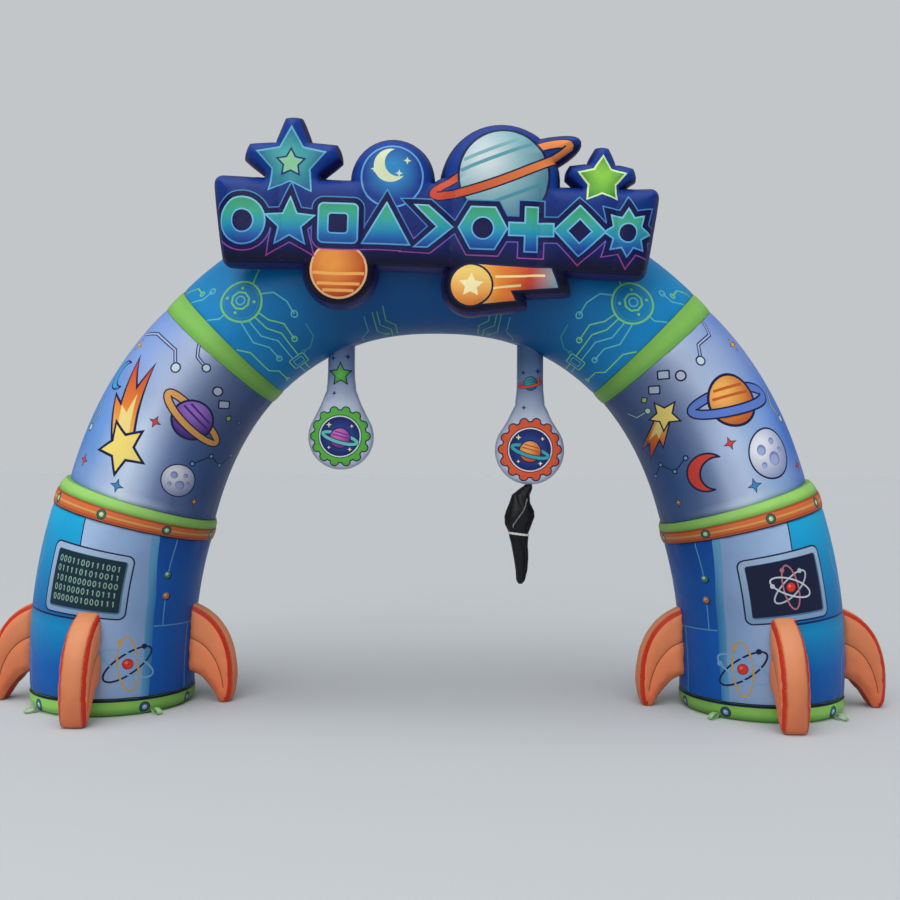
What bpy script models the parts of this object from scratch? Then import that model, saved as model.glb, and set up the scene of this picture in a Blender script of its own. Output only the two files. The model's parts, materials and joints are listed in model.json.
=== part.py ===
"""Inflatable walk-through arch on two rocket-like legs, with a cut-out sign and two hanging pendants.

Metres, +Z up. The arch stands in the XZ plane and its front faces -Y. The origin is on the floor,
midway between the legs. Left and right are as seen from the front, so the left leg is at -X.
"""

import math

import bmesh
import bpy
from mathutils import Matrix, Vector
from mathutils.geometry import delaunay_2d_cdt, intersect_point_line

# The tube's centreline is a superellipse that stands on the floor.
HALF_SPAN = 2.39  # from the middle of the arch to a leg's axis, on the floor
SPINE_HEIGHT = 3.25  # floor to the centreline at the crown
SPINE_POWER = 2.25  # 2 is an ellipse, and more gives squarer shoulders
SIDES = 32  # flat strips round the tube
GAP = 0.0003  # between pieces that are sewn or lie together

# A leg's sewn sections from the floor up. Heights are those of the centreline. Swell is how far the
# middle of a section stands out past a straight cone, and drift moves the rings away from the arch.
LEG_COLUMNS = (
    "name", "low", "high", "r_low", "r_high", "swell", "drift_low", "drift_mid", "drift_high", "rows",
)
LEG_SECTIONS = (
    ("drum", 0.125, 1.335, 0.584, 0.580, 0.004, 0.000, 0.018, 0.004, 5),
    ("collar", 1.335, 1.432, 0.586, 0.586, 0.005, 0.004, 0.002, 0.000, 2),
    ("collar_trim", 1.432, 1.503, 0.582, 0.560, 0.006, 0.000, -0.004, -0.008, 2),
    ("cone", 1.503, 2.560, 0.541, 0.510, 0.006, -0.020, 0.000, -0.010, 5),
    ("crown_trim", 2.560, 2.665, 0.511, 0.511, 0.004, -0.012, -0.012, -0.012, 2),
)
CROWN_RADIUS = 0.510
CROWN_DRIFT = -0.012
CROWN_ROWS = 18
# The base band's rounded lower edge, as height and radius.
BASE_PROFILE = ((0.0, 0.548), (0.014, 0.569), (0.040, 0.582), (0.080, 0.588), (0.125, 0.586))

# A fin's outline, from the leg's axis outwards and from the floor up. Its root runs into the leg,
# whose surface trims it, and its seam is the baffle that draws both faces in.
FIN_OUTLINE = (
    (0.550, 0.732), (0.600, 0.716), (0.668, 0.684), (0.726, 0.645), (0.778, 0.595), (0.822, 0.535),
    (0.858, 0.464), (0.884, 0.384), (0.900, 0.296), (0.906, 0.205), (0.902, 0.115), (0.890, 0.045),
    (0.872, 0.010), (0.845, 0.000), (0.815, 0.000), (0.790, 0.024), (0.752, 0.078), (0.706, 0.135),
    (0.650, 0.188), (0.590, 0.222), (0.550, 0.236),
)
FIN_SEAM = ((0.550, 0.480), (0.640, 0.452), (0.715, 0.395), (0.775, 0.310), (0.815, 0.205), (0.835, 0.110))
FIN_GUSSET = 0.150
FIN_PUFF = 0.026
FIN_TURNS = {"outer": 0.0, "back": 90.0, "inner": 180.0, "front": 270.0}

# The sign hangs on the crown's front. Its own frame has u to the right and w up, from its middle.
SIGN_MIDDLE = Vector((-0.009, -0.620, 3.374))
SIGN_TILT = math.radians(1.7)  # its right end hangs lower
SIGN_GUSSET = 0.200
SIGN_PUFF = 0.060
BOARD_TOP_HALF = 1.507
BOARD_LOW_HALF = 1.437
BOARD_HALF_HEIGHT = 0.293
BOARD_CORNER = 0.045
SIGN_DISCS = (  # round lobes: u, w, radius
    (-0.300, 0.300, 0.275),  # small moon
    (0.440, 0.310, 0.390),  # big planet
    (-0.640, -0.320, 0.245),  # small planet under the board
    (0.260, -0.400, 0.185),  # the comet's head
)
PLANET_RING = (0.440, 0.410, 0.560, 0.105, 22.0)  # u, w, half length, half width, tilt in degrees
BIG_STAR = (-0.985, 0.385, 0.320, 0.185)  # u, w, tip radius, notch radius
SMALL_STAR = (1.120, 0.340, 0.225, 0.132)
STAR_BLUNT = 8.0  # half of a tip's width, in degrees round the star's middle
COMET_TAIL = (
    (0.230, -0.230), (0.310, -0.575), (0.640, -0.530), (0.610, -0.455), (0.930, -0.430), (0.880, -0.230),
)

# The pendants: u from each one's own axis, w is the height above the floor.
PENDANT_COLUMNS = ("name", "x", "neck_half", "neck_low", "disc_z", "disc_r")
PENDANTS = (
    ("pendant_left", -0.714, 0.099, 2.300, 1.958, 0.240),
    ("pendant_right", 0.682, 0.097, 2.200, 1.868, 0.253),
)
NECK_TOP = 2.86  # inside the crown, whose underside trims it
PENDANT_GUSSET = 0.050
PENDANT_PUFF = 0.045

# The tied bundle hangs from the right pendant's lowest point.
# Its rows run from the top down: height, x of the middle, half width, half depth.
BUNDLE_TOP = PENDANTS[1][4] - PENDANTS[1][5] - GAP
BUNDLE_ROWS = (
    (BUNDLE_TOP, 0.680, 0.022, 0.020), (1.585, 0.662, 0.044, 0.038), (1.535, 0.622, 0.064, 0.055),
    (1.475, 0.616, 0.074, 0.066), (1.420, 0.618, 0.097, 0.078), (1.375, 0.612, 0.104, 0.082),
    (1.320, 0.602, 0.093, 0.076), (1.264, 0.604, 0.071, 0.062), (1.236, 0.603, 0.068, 0.060),
    (1.185, 0.608, 0.060, 0.056), (1.060, 0.622, 0.051, 0.048), (0.975, 0.626, 0.042, 0.041),
    (0.905, 0.620, 0.031, 0.031), (0.880, 0.619, 0.014, 0.014),
)
BUNDLE_SIDES = 16
BUNDLE_LOBES = 3  # folds of cloth round the bundle
BUNDLE_LOBE_DEPTH = 0.07  # as a share of the radius
BUNDLE_TWIST = 6.0  # radians that the folds turn through in a metre of height
TIE_ROWS = (7, 8)  # the tie sits between these rows of the bundle
TIE_CLEAR = 0.002  # between the tie and the bundle's cloth
TIE_THICK = 0.004
TIE_BAND = 0.008  # half its height
CORD_RADIUS = 0.005
CORD_CLEAR = 0.003
# The thin cord over the bundle's front: height, and degrees round from +X.
CORD_ROUTE = (
    (1.510, -55.0), (1.470, -66.0), (1.425, -80.0), (1.380, -94.0), (1.335, -108.0), (1.300, -118.0),
)

# The tie-down loops are bent webbing, sewn into the base band's lower seam.
LOOP_LONG = 0.046  # half the loop's length, outwards
LOOP_HIGH = 0.021  # half its height
LOOP_DROOP = math.radians(9.0)
LOOP_WEBBING = 0.003
LOOP_WIDTH = 0.038
LOOP_STEPS = 14
LOOP_CLEAR = 0.001  # between a loop and the base band's side
LOOP_TURNS = {"outer_front": 315.0, "outer_back": 45.0, "inner_back": 135.0, "inner_front": 225.0}

COLOURS = {  # linear RGB and roughness
    "blue": ((0.010, 0.140, 0.420), 0.45),
    "silver": ((0.390, 0.440, 0.650), 0.42),
    "green": ((0.260, 0.560, 0.080), 0.45),
    "orange": ((0.640, 0.180, 0.050), 0.48),
    "fin_orange": ((0.680, 0.260, 0.100), 0.50),
    "navy": ((0.030, 0.025, 0.150), 0.45),
    "pendant": ((0.480, 0.480, 0.680), 0.48),
    "black": ((0.010, 0.011, 0.015), 0.70),
    "white": ((0.750, 0.740, 0.700), 0.60),
    "webbing": ((0.420, 0.650, 0.340), 0.70),
}


def clear_scene():
    for old in list(bpy.data.objects):
        bpy.data.objects.remove(old, do_unlink=True)


def material(name):
    """One Principled material for each colour, made on first use."""
    if name in bpy.data.materials:
        return bpy.data.materials[name]
    colour, roughness = COLOURS[name]
    made = bpy.data.materials.new(name)
    made.use_nodes = True
    shader = made.node_tree.nodes["Principled BSDF"]
    shader.inputs["Base Color"].default_value = (*colour, 1.0)
    shader.inputs["Roughness"].default_value = roughness
    shader.inputs["Metallic"].default_value = 0.0
    return made


def add_object(name, mesh, colour, place=None):
    obj = bpy.data.objects.new(name, mesh)
    bpy.context.scene.collection.objects.link(obj)
    if not mesh.materials:
        mesh.materials.append(material(colour))
    if place is not None:
        obj.matrix_world = place
    return obj


def finish_mesh(bm, name, sharp=35.0):
    """Turns a bmesh into a mesh with its faces pointing out, shaded smooth but for its sharp edges."""
    bmesh.ops.recalc_face_normals(bm, faces=bm.faces)
    mesh = bpy.data.meshes.new(name)
    bm.to_mesh(mesh)
    bm.free()
    mesh.shade_smooth()
    mesh.set_sharp_from_angle(angle=math.radians(sharp))
    return mesh


def mirrored(mesh):
    """The same piece for the other side of the arch."""
    bm = bmesh.new()
    bm.from_mesh(mesh)
    bmesh.ops.scale(bm, vec=(-1, 1, 1), verts=bm.verts)
    return finish_mesh(bm, mesh.name + "_mirrored")


def add_pair(name, mesh, colour):
    """Adds a piece on the right and its mirror image on the left."""
    add_object(name + "_right", mesh, colour)
    add_object(name + "_left", mirrored(mesh), colour)


def trim(obj, cutter):
    """Cuts a piece where it meets the tube, so that it sits against it."""
    cut = obj.modifiers.new("trim", "BOOLEAN")
    cut.operation = "DIFFERENCE"
    cut.object = cutter


def hide_cutter(obj):
    obj.hide_render = True
    obj.display_type = "WIRE"


# The tube


def spine(turn):
    """A point on the centreline. Turn runs from 0 at the right foot to pi at the left one."""
    share = 2.0 / SPINE_POWER
    across, up = math.cos(turn), math.sin(turn)
    x = HALF_SPAN * math.copysign(abs(across) ** share, across)
    return Vector((x, 0, SPINE_HEIGHT * abs(up) ** share))


def spine_turn(height):
    """Where the right leg's centreline reaches a height."""
    return math.asin((height / SPINE_HEIGHT) ** (SPINE_POWER / 2.0))


def spine_direction(turn):
    step = 0.001
    return (spine(turn + step) - spine(max(turn - step, 0.0))).normalized()


def ring(turn, radius, drift=0.0, slide=0.0):
    """A round of points square to the centreline, moved out by drift and along the tube by slide."""
    along = spine_direction(turn)
    outward = Vector((along.z, 0, -along.x))
    middle = spine(turn) + outward * drift + along * slide
    points = []
    for side in range(SIDES):
        angle = math.tau * side / SIDES
        points.append(middle + radius * (math.cos(angle) * outward + math.sin(angle) * Vector((0, 1, 0))))
    return points


def loft(rings, closed=False):
    """Skins a row of rings with quads. The ends are capped, or joined to each other when closed."""
    bm = bmesh.new()
    loops = [[bm.verts.new(point) for point in points] for points in rings]
    pairs = list(zip(loops, loops[1:]))
    if closed:
        pairs.append((loops[-1], loops[0]))
    for low, high in pairs:
        for side in range(len(low)):
            after = (side + 1) % len(low)
            bm.faces.new((low[side], low[after], high[after], high[side]))
    if not closed:
        bm.faces.new(loops[0])
        bm.faces.new(loops[-1])
    return bm


def section_rings(section, extra=0.0):
    """The rings of one sewn section of a leg, with half a gap left at each end."""
    rings = []
    low_turn, high_turn = spine_turn(section["low"]), spine_turn(section["high"])
    for row in range(section["rows"] + 1):
        share = row / section["rows"]
        swell = section["swell"] * math.sin(math.pi * share)
        radius = section["r_low"] + (section["r_high"] - section["r_low"]) * share + swell
        ends = section["drift_low"] * (1 - share) + section["drift_high"] * share
        middle = section["drift_mid"] - (section["drift_low"] + section["drift_high"]) / 2
        drift = ends + middle * 4 * share * (1 - share)
        slide = GAP / 2 * ((share == 0) - (share == 1))
        rings.append(ring(low_turn + (high_turn - low_turn) * share, radius + extra, drift, slide))
    return rings


def base_band_mesh():
    rings = [ring(spine_turn(height), radius) for height, radius in BASE_PROFILE[:-1]]
    height, radius = BASE_PROFILE[-1]
    rings.append(ring(spine_turn(height), radius, slide=-GAP / 2))
    return finish_mesh(loft(rings), "base_band")


def crown_rings(extra=0.0):
    low = spine_turn(LEG_SECTIONS[-1][2])
    rings = []
    for row in range(CROWN_ROWS + 1):
        turn = low + (math.pi - 2 * low) * row / CROWN_ROWS
        slide = GAP / 2 * ((row == 0) - (row == CROWN_ROWS))
        rings.append(ring(turn, CROWN_RADIUS + extra, CROWN_DRIFT, slide))
    return rings


def add_tube():
    """The crown, both legs' sections, and the cutters that trim what sits on them."""
    colours = {
        "drum": "blue", "collar": "orange", "collar_trim": "green", "cone": "silver", "crown_trim": "green",
    }
    cutters = {}
    for row in LEG_SECTIONS:
        section = dict(zip(LEG_COLUMNS, row))
        mesh = finish_mesh(loft(section_rings(section)), section["name"])
        add_pair(section["name"], mesh, colours[section["name"]])
        if section["name"] == "drum":
            grown = finish_mesh(loft(section_rings(section, GAP)), "drum_cutter")
            cutters["right"] = add_object("drum_cutter_right", grown, "blue")
            cutters["left"] = add_object("drum_cutter_left", mirrored(grown), "blue")
    add_pair("base_band", base_band_mesh(), "green")
    add_object("crown", finish_mesh(loft(crown_rings()), "crown"), "blue")
    grown = finish_mesh(loft(crown_rings(GAP)), "crown_cutter")
    cutters["crown"] = add_object("crown_cutter", grown, "blue")
    for cutter in cutters.values():
        hide_cutter(cutter)
    return cutters


# Flat-cut pieces that are blown up between two faces


def arc(u, w, radius, start, end, steps):
    """Points on an arc, from start to end in degrees, both included."""
    turns = [math.radians(start + (end - start) * step / steps) for step in range(steps + 1)]
    return [Vector((u + radius * math.cos(turn), w + radius * math.sin(turn))) for turn in turns]


def distance_to(point, lines):
    """How far a point lies from the nearest of some straight stretches."""
    nearest = math.inf
    for a, b in lines:
        foot, share = intersect_point_line(point, a, b)
        foot = a if share < 0 else b if share > 1 else foot.to_2d()
        nearest = min(nearest, (point - foot).length)
    return nearest


def stretches(points, closed=True):
    ends = points[1:] + points[:1] if closed else points[1:]
    return list(zip(points, ends))


def with_steps(outline, longest):
    """The outline with points added, evenly, where a stretch is longer than that."""
    points = []
    for here, after in stretches(outline):
        pieces = max(1, round((after - here).length / longest))
        points += [here.lerp(after, piece / pieces) for piece in range(pieces)]
    return points


def inset_points(outline, depth):
    """The outline's points moved in by a depth, on the side that its winding puts inside."""
    moved = []
    for before, here, after in zip(outline[-1:] + outline[:-1], outline, outline[1:] + outline[:1]):
        way = (after - before).normalized()
        moved.append(here + depth * Vector((-way.y, way.x)))
    return moved


def dome(share):
    """Height of a quarter-round edge, from 0 on the seam to 1 where the face is full."""
    return math.sqrt(1 - (1 - min(share, 1.0)) ** 2)


def inflated(outlines, gusset, puff, insets, step, seam=()):
    """Blows up the union of some outlines: a gusset as wide as the seam, and a puffed face each side.

    Outlines run anticlockwise. Insets are the depths of the rows of points that round the edge, and
    step is the spacing of the points inside them.
    """
    outlines = [with_steps(outline, step) for outline in outlines]
    borders = [line for outline in outlines for line in stretches(outline)]
    seam_lines = stretches(list(seam), closed=False)
    points = [point for outline in outlines for point in outline]
    faces, first = [], 0
    for outline in outlines:
        faces.append(list(range(first, first + len(outline))))
        first += len(outline)
    seam_edges = [(first + index, first + index + 1) for index in range(len(seam) - 1)]
    points += list(seam)
    for depth in insets:
        for outline in outlines:
            for point in inset_points(outline, depth):
                if distance_to(point, borders + seam_lines) > 0.8 * min(depth, insets[0]):
                    points.append(point)
    low_u, high_u = min(p.x for p in points), max(p.x for p in points)
    low_w, high_w = min(p.y for p in points), max(p.y for p in points)
    for column in range(1, math.ceil((high_u - low_u) / step)):
        for row in range(1, math.ceil((high_w - low_w) / step)):
            point = Vector((low_u + column * step, low_w + row * step))
            if distance_to(point, borders + seam_lines) > insets[-1] + 0.4 * step:
                points.append(point)
    flat, _, triangles, *_ = delaunay_2d_cdt(points, seam_edges, faces, 1, 0.0005)

    uses = {}
    for corners in triangles:
        for a, b in stretches(list(corners)):
            uses[frozenset((a, b))] = uses.get(frozenset((a, b)), 0) + 1
    rim = [tuple(edge) for edge, count in uses.items() if count == 1]
    rim_lines = [(flat[a], flat[b]) for a, b in rim]
    bm = bmesh.new()
    fronts, backs = {}, {}
    for index in sorted({corner for corners in triangles for corner in corners}):
        rise = dome(distance_to(flat[index], rim_lines) / insets[-1])
        if seam_lines:
            rise = min(rise, 0.45 + 0.55 * dome(distance_to(flat[index], seam_lines) / insets[-1]))
        half = gusset / 2 + puff * rise
        fronts[index] = bm.verts.new((flat[index].x, -half, flat[index].y))
        backs[index] = bm.verts.new((flat[index].x, half, flat[index].y))
    for corners in triangles:
        bm.faces.new([fronts[corner] for corner in corners])
        bm.faces.new([backs[corner] for corner in reversed(corners)])
    for a, b in rim:
        bm.faces.new((fronts[a], fronts[b], backs[b], backs[a]))
    return bm


def add_fins(cutters):
    outline = [Vector(point) for point in reversed(FIN_OUTLINE)]
    seam = [Vector(point) for point in FIN_SEAM]
    mesh = finish_mesh(inflated([outline], FIN_GUSSET, FIN_PUFF, (0.022, 0.060), 0.11, seam), "fin")
    for side, middle in (("right", HALF_SPAN), ("left", -HALF_SPAN)):
        for name, turn in FIN_TURNS.items():
            turn = turn if side == "right" else 180.0 - turn
            place = Matrix.Translation((middle, 0, 0)) @ Matrix.Rotation(math.radians(turn), 4, "Z")
            trim(add_object(f"fin_{side}_{name}", mesh, "fin_orange", place), cutters[side])


def board_outline():
    """The sign's board: a long panel whose ends flare out towards the top, with rounded corners."""
    flare = (BOARD_TOP_HALF - BOARD_LOW_HALF) / 2
    middle_half = (BOARD_TOP_HALF + BOARD_LOW_HALF) / 2
    points = []
    for side_u, side_w, start in ((1, 1, 0), (-1, 1, 90), (-1, -1, 180), (1, -1, 270)):
        u = side_u * (middle_half + side_w * flare - BOARD_CORNER)
        w = side_w * (BOARD_HALF_HEIGHT - BOARD_CORNER)
        points += arc(u, w, BOARD_CORNER, start, start + 90, 3)
    return points


def star_outline(u, w, tip, notch):
    """A plain five-pointed star with blunt tips, one of them straight up."""
    points = []
    for arm in range(5):
        turn = 90 + arm * 72
        points += arc(u, w, tip, turn - STAR_BLUNT, turn + STAR_BLUNT, 2)
        points.append(arc(u, w, notch, turn + 36, turn + 36, 1)[0])
    return points


def ellipse_outline(u, w, long_half, short_half, tilt, steps):
    turn = Matrix.Rotation(math.radians(tilt), 2)
    shape = arc(0, 0, 1.0, 0, 360 - 360 / steps, steps - 1)
    return [Vector((u, w)) + turn @ Vector((point.x * long_half, point.y * short_half)) for point in shape]


def add_sign(cutters):
    outlines = [board_outline(), star_outline(*BIG_STAR), star_outline(*SMALL_STAR)]
    outlines += [ellipse_outline(u, w, radius, radius, 0, 24) for u, w, radius in SIGN_DISCS]
    outlines += [ellipse_outline(*PLANET_RING, 24), [Vector(point) for point in COMET_TAIL]]
    mesh = finish_mesh(inflated(outlines, SIGN_GUSSET, SIGN_PUFF, (0.03, 0.09), 0.24), "sign")
    place = Matrix.Translation(SIGN_MIDDLE) @ Matrix.Rotation(SIGN_TILT, 4, "Y")
    trim(add_object("sign", mesh, "navy", place), cutters["crown"])


def pendant_outline(pendant):
    """A drop: a straight neck that widens along tangents into a round bottom."""
    drop = pendant["neck_low"] - pendant["disc_z"]
    reach = math.hypot(pendant["neck_half"], drop)
    lean = math.degrees(math.atan2(drop, pendant["neck_half"]))
    touch = lean - math.degrees(math.acos(pendant["disc_r"] / reach))
    bottom = arc(0, pendant["disc_z"], pendant["disc_r"], -180 - touch, touch, 14)
    half, low = pendant["neck_half"], pendant["neck_low"]
    middle = (low + NECK_TOP) / 2
    right = [Vector((half, low)), Vector((half, middle)), Vector((half, NECK_TOP))]
    left = [Vector((-half, NECK_TOP)), Vector((-half, middle)), Vector((-half, low))]
    return bottom + right + left


def add_pendants(cutters):
    for row in PENDANTS:
        pendant = dict(zip(PENDANT_COLUMNS, row))
        blown = inflated([pendant_outline(pendant)], PENDANT_GUSSET, PENDANT_PUFF, (0.025, 0.070), 0.14)
        mesh = finish_mesh(blown, pendant["name"])
        place = Matrix.Translation((pendant["x"], 0, 0))
        trim(add_object(pendant["name"], mesh, "pendant", place), cutters["crown"])


# The tied bundle


def bundle_row(height):
    """Middle, half width and half depth of the bundle at a height, between the rows of its table."""
    for upper, lower in zip(BUNDLE_ROWS, BUNDLE_ROWS[1:]):
        if upper[0] >= height >= lower[0]:
            share = (upper[0] - height) / (upper[0] - lower[0])
            return tuple(a + (b - a) * share for a, b in zip(upper[1:], lower[1:]))
    raise ValueError(f"no bundle at a height of {height}")


def bundle_point(height, angle, extra=0.0):
    """A point on the bundle's folded surface. Angle is in radians from +X, and extra lifts it off."""
    x, half_width, half_depth = bundle_row(height)
    fold = 1 + BUNDLE_LOBE_DEPTH * math.cos(BUNDLE_LOBES * angle + BUNDLE_TWIST * height)
    return Vector((
        x + (half_width * fold + extra) * math.cos(angle),
        (half_depth * fold + extra) * math.sin(angle),
        height,
    ))


def bundle_ring(height, extra=0.0):
    return [bundle_point(height, math.tau * side / BUNDLE_SIDES, extra) for side in range(BUNDLE_SIDES)]


def add_bundle():
    rings = [bundle_ring(row[0]) for row in BUNDLE_ROWS]
    add_object("bundle", finish_mesh(loft(rings), "bundle", 60), "black")

    middle = (BUNDLE_ROWS[TIE_ROWS[0]][0] + BUNDLE_ROWS[TIE_ROWS[1]][0]) / 2
    low, high = middle - TIE_BAND, middle + TIE_BAND
    outer = TIE_CLEAR + TIE_THICK
    section = ((low, TIE_CLEAR), (high, TIE_CLEAR), (high, outer), (low, outer))
    rings = [bundle_ring(*row) for row in section]
    add_object("bundle_tie", finish_mesh(loft(rings, closed=True), "bundle_tie"), "white")

    lift = CORD_RADIUS + CORD_CLEAR
    line = bpy.data.curves.new("bundle_cord", "CURVE")
    line.dimensions = "3D"
    line.bevel_depth = CORD_RADIUS
    line.bevel_resolution = 2
    line.use_fill_caps = True
    spline = line.splines.new("POLY")
    spline.points.add(len(CORD_ROUTE) - 1)
    for point, (height, angle) in zip(spline.points, CORD_ROUTE):
        point.co = (*bundle_point(height, math.radians(angle), lift), 1)
    line.materials.append(material("white"))
    bpy.context.scene.collection.objects.link(bpy.data.objects.new("bundle_cord", line))


# The tie-down loops


def loop_mesh():
    """A flat webbing bent into a long loop: u points away from the leg, and the loop's end is at u = 0."""
    turn = Matrix.Rotation(-LOOP_DROOP, 2)
    rounds = {}
    for name, shrink in (("outer", 0.0), ("inner", LOOP_WEBBING)):
        shape = arc(0, 0, 1.0, 0, 360 - 360 / LOOP_STEPS, LOOP_STEPS - 1)
        rounds[name] = [
            turn @ Vector((point.x * (LOOP_LONG - shrink), point.y * (LOOP_HIGH - shrink))) for point in shape
        ]
    low_u = min(point.x for point in rounds["outer"])
    low_w = min(point.y for point in rounds["outer"])
    rings = []
    for name, side in (("outer", -0.5), ("outer", 0.5), ("inner", 0.5), ("inner", -0.5)):
        rings.append([
            Vector((point.x - low_u, side * LOOP_WIDTH, point.y - low_w)) for point in rounds[name]
        ])
    return finish_mesh(loft(rings, closed=True), "tie_loop")


def add_tie_loops():
    mesh = loop_mesh()
    root = BASE_PROFILE[2][1] + LOOP_CLEAR
    for side, middle in (("right", HALF_SPAN), ("left", -HALF_SPAN)):
        for name, turn in LOOP_TURNS.items():
            turn = turn if side == "right" else 180.0 - turn
            place = Matrix.Translation((middle, 0, GAP)) @ Matrix.Rotation(math.radians(turn), 4, "Z")
            add_object(f"tie_loop_{side}_{name}", mesh, "webbing", place @ Matrix.Translation((root, 0, 0)))


def main():
    clear_scene()
    cutters = add_tube()
    add_fins(cutters)
    add_sign(cutters)
    add_pendants(cutters)
    add_bundle()
    add_tie_loops()


main()
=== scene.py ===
# %% [markdown]
# # An inflatable arch that people walk through
#
# The real arch is sewn from printed polyester cloth and held up by a small fan. Two round legs
# with fins carry a curved top, a cut-out sign is sewn to its front, and two flat drops hang under
# it. This notebook dresses a plain model of it: each sewn section gets its own cloth, with its
# print, its seams and the small creases beside them.

# %% Open the frame
import json
import math
import random

import bmesh
import bpy
import numpy as np
from mathutils import Matrix, Vector, noise
from mathutils.bvhtree import BVHTree
from mathutils.geometry import barycentric_transform, delaunay_2d_cdt
from mathutils.kdtree import KDTree

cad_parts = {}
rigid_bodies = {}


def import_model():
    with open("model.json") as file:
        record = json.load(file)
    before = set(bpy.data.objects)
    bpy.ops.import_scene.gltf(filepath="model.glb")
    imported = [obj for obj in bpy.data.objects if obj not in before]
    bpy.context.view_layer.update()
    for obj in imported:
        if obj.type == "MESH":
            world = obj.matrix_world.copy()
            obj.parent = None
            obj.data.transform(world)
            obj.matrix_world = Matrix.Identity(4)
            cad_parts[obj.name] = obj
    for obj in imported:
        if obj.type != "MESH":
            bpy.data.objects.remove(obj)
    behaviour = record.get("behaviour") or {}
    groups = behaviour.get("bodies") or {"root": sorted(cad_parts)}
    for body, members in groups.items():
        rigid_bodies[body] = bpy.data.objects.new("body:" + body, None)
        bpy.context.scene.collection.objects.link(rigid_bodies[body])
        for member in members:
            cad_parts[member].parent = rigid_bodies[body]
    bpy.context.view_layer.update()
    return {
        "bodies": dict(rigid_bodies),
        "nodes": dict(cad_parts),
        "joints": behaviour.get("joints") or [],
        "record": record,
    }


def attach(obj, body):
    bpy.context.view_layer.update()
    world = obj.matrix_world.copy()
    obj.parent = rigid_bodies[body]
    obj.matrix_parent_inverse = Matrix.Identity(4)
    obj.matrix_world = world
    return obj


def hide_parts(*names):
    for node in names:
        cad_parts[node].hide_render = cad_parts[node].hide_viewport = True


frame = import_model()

scene = bpy.context.scene

# %% [markdown]
# ## The camera
#
# A camera at chest height looks at the arch from 8 m, nearly level, with a little roll. Its axes
# are worked out from three angles, so that each can be tried on its own. A standard view
# transform keeps the print's strong colours, which a film-like one would wash out.

# %% Camera
CAMERA_PLACE = Vector((0.1917, -7.9789, 1.8494))
CAMERA_PITCH, CAMERA_YAW, CAMERA_ROLL = (math.radians(a) for a in (0.1145, -0.7026, -0.3445))
FOCAL_IN_WIDTHS = 1077.8 / 900  # focal length over the picture's width


def add_object(name, data):
    made = bpy.data.objects.new(name, data)
    scene.collection.objects.link(made)
    return made


def camera_axes():
    level = Vector((math.sin(CAMERA_YAW), math.cos(CAMERA_YAW), 0))
    side = Vector((math.cos(CAMERA_YAW), -math.sin(CAMERA_YAW), 0))
    ahead = math.cos(CAMERA_PITCH) * level + Vector((0, 0, math.sin(CAMERA_PITCH)))
    right = math.cos(CAMERA_ROLL) * side - math.sin(CAMERA_ROLL) * side.cross(ahead)
    return right, right.cross(ahead), -ahead


lens = bpy.data.cameras.new("camera")
lens.sensor_width = 36.0
lens.lens = lens.sensor_width * FOCAL_IN_WIDTHS
lens.clip_end = 100.0
camera = add_object("camera", lens)
camera.matrix_world = Matrix.Translation(CAMERA_PLACE) @ Matrix(camera_axes()).transposed().to_4x4()
scene.camera = camera
scene.view_settings.view_transform = "Standard"
print("lens of", round(lens.lens, 1), "mm")

# %% [markdown]
# ## Light and floor
#
# An overcast sky lights a thing like this outdoors, and it is brightest overhead. So the world
# doubles in strength from the horizon up, and a sun lamp with a very wide disc lights the arch
# from above, evenly as far as the floor goes. A weak lamp in front helps the print. The camera
# sees a plain backdrop in the floor's own grey, so that the floor has no hard far edge.

# %% Colours
def linear(code):
    """A colour such as #1a8fcf as Blender's linear red, green and blue."""
    parts = [int(code[i : i + 2], 16) / 255 for i in (1, 3, 5)]
    return tuple(p / 12.92 if p <= 0.04045 else ((p + 0.055) / 1.055) ** 2.4 for p in parts)


def mixed(first, second, share):
    return tuple(a + (b - a) * share for a, b in zip(first, second))


def clamp(value, low=0.0, high=1.0):
    return min(max(value, low), high)


def hump(value, middle, width):
    """1 at the middle, falling away smoothly on both sides."""
    return math.exp(-((value - middle) / width) ** 2)


print("mid grey is", linear("#808080"))

# %% Lamps, nodes and materials
LAMPS = (  # name, kind, place, size in metres or degrees, power
    ("overhead", "SUN", (-1.5, -4.5, 11.0), 75.0, 2.05),
    ("front", "AREA", (-3.0, -10.0, 6.5), 5.0, 150.0),
)
LAMP_AIM = Vector((0, 0, 1.8))


def add_lamp(name, kind, place, size, power):
    lamp = bpy.data.lights.new(name, kind)
    lamp.energy = power
    if kind == "SUN":
        lamp.angle = math.radians(size)
    else:
        lamp.size = size
    made = add_object(name, lamp)
    made.location = place
    made.rotation_euler = (LAMP_AIM - Vector(place)).to_track_quat("-Z", "Y").to_euler()


def add_node(tree, kind, links=(), **settings):
    """Adds a node. Settings are its own properties, or inputs by name or number (as n7).

    Links feed inputs from a socket, or from the first output of a node.
    """
    made = tree.nodes.new("ShaderNode" + kind)
    for key, value in settings.items():
        if hasattr(made, key):
            setattr(made, key, value)
        else:
            name = int(key[1:]) if key[0] == "n" and key[1:].isdigit() else key.replace("_", " ")
            made.inputs[name].default_value = value
    for socket, source in dict(links).items():
        tree.links.new(getattr(source, "outputs", [source])[0], made.inputs[socket])
    return made


def new_material(name):
    made = bpy.data.materials.new(name)
    made.use_nodes = True
    made.node_tree.nodes.clear()
    return made, made.node_tree


for row in LAMPS:
    add_lamp(*row)
print(len(LAMPS), "lamps")

# %% Sky and floor
FLOOR_SIZE = 160.0
SKY_LOW, SKY_HIGH = 0.24, 0.50  # the world's strength at the horizon and overhead
BACKDROP = "#c3c6c9"

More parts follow.
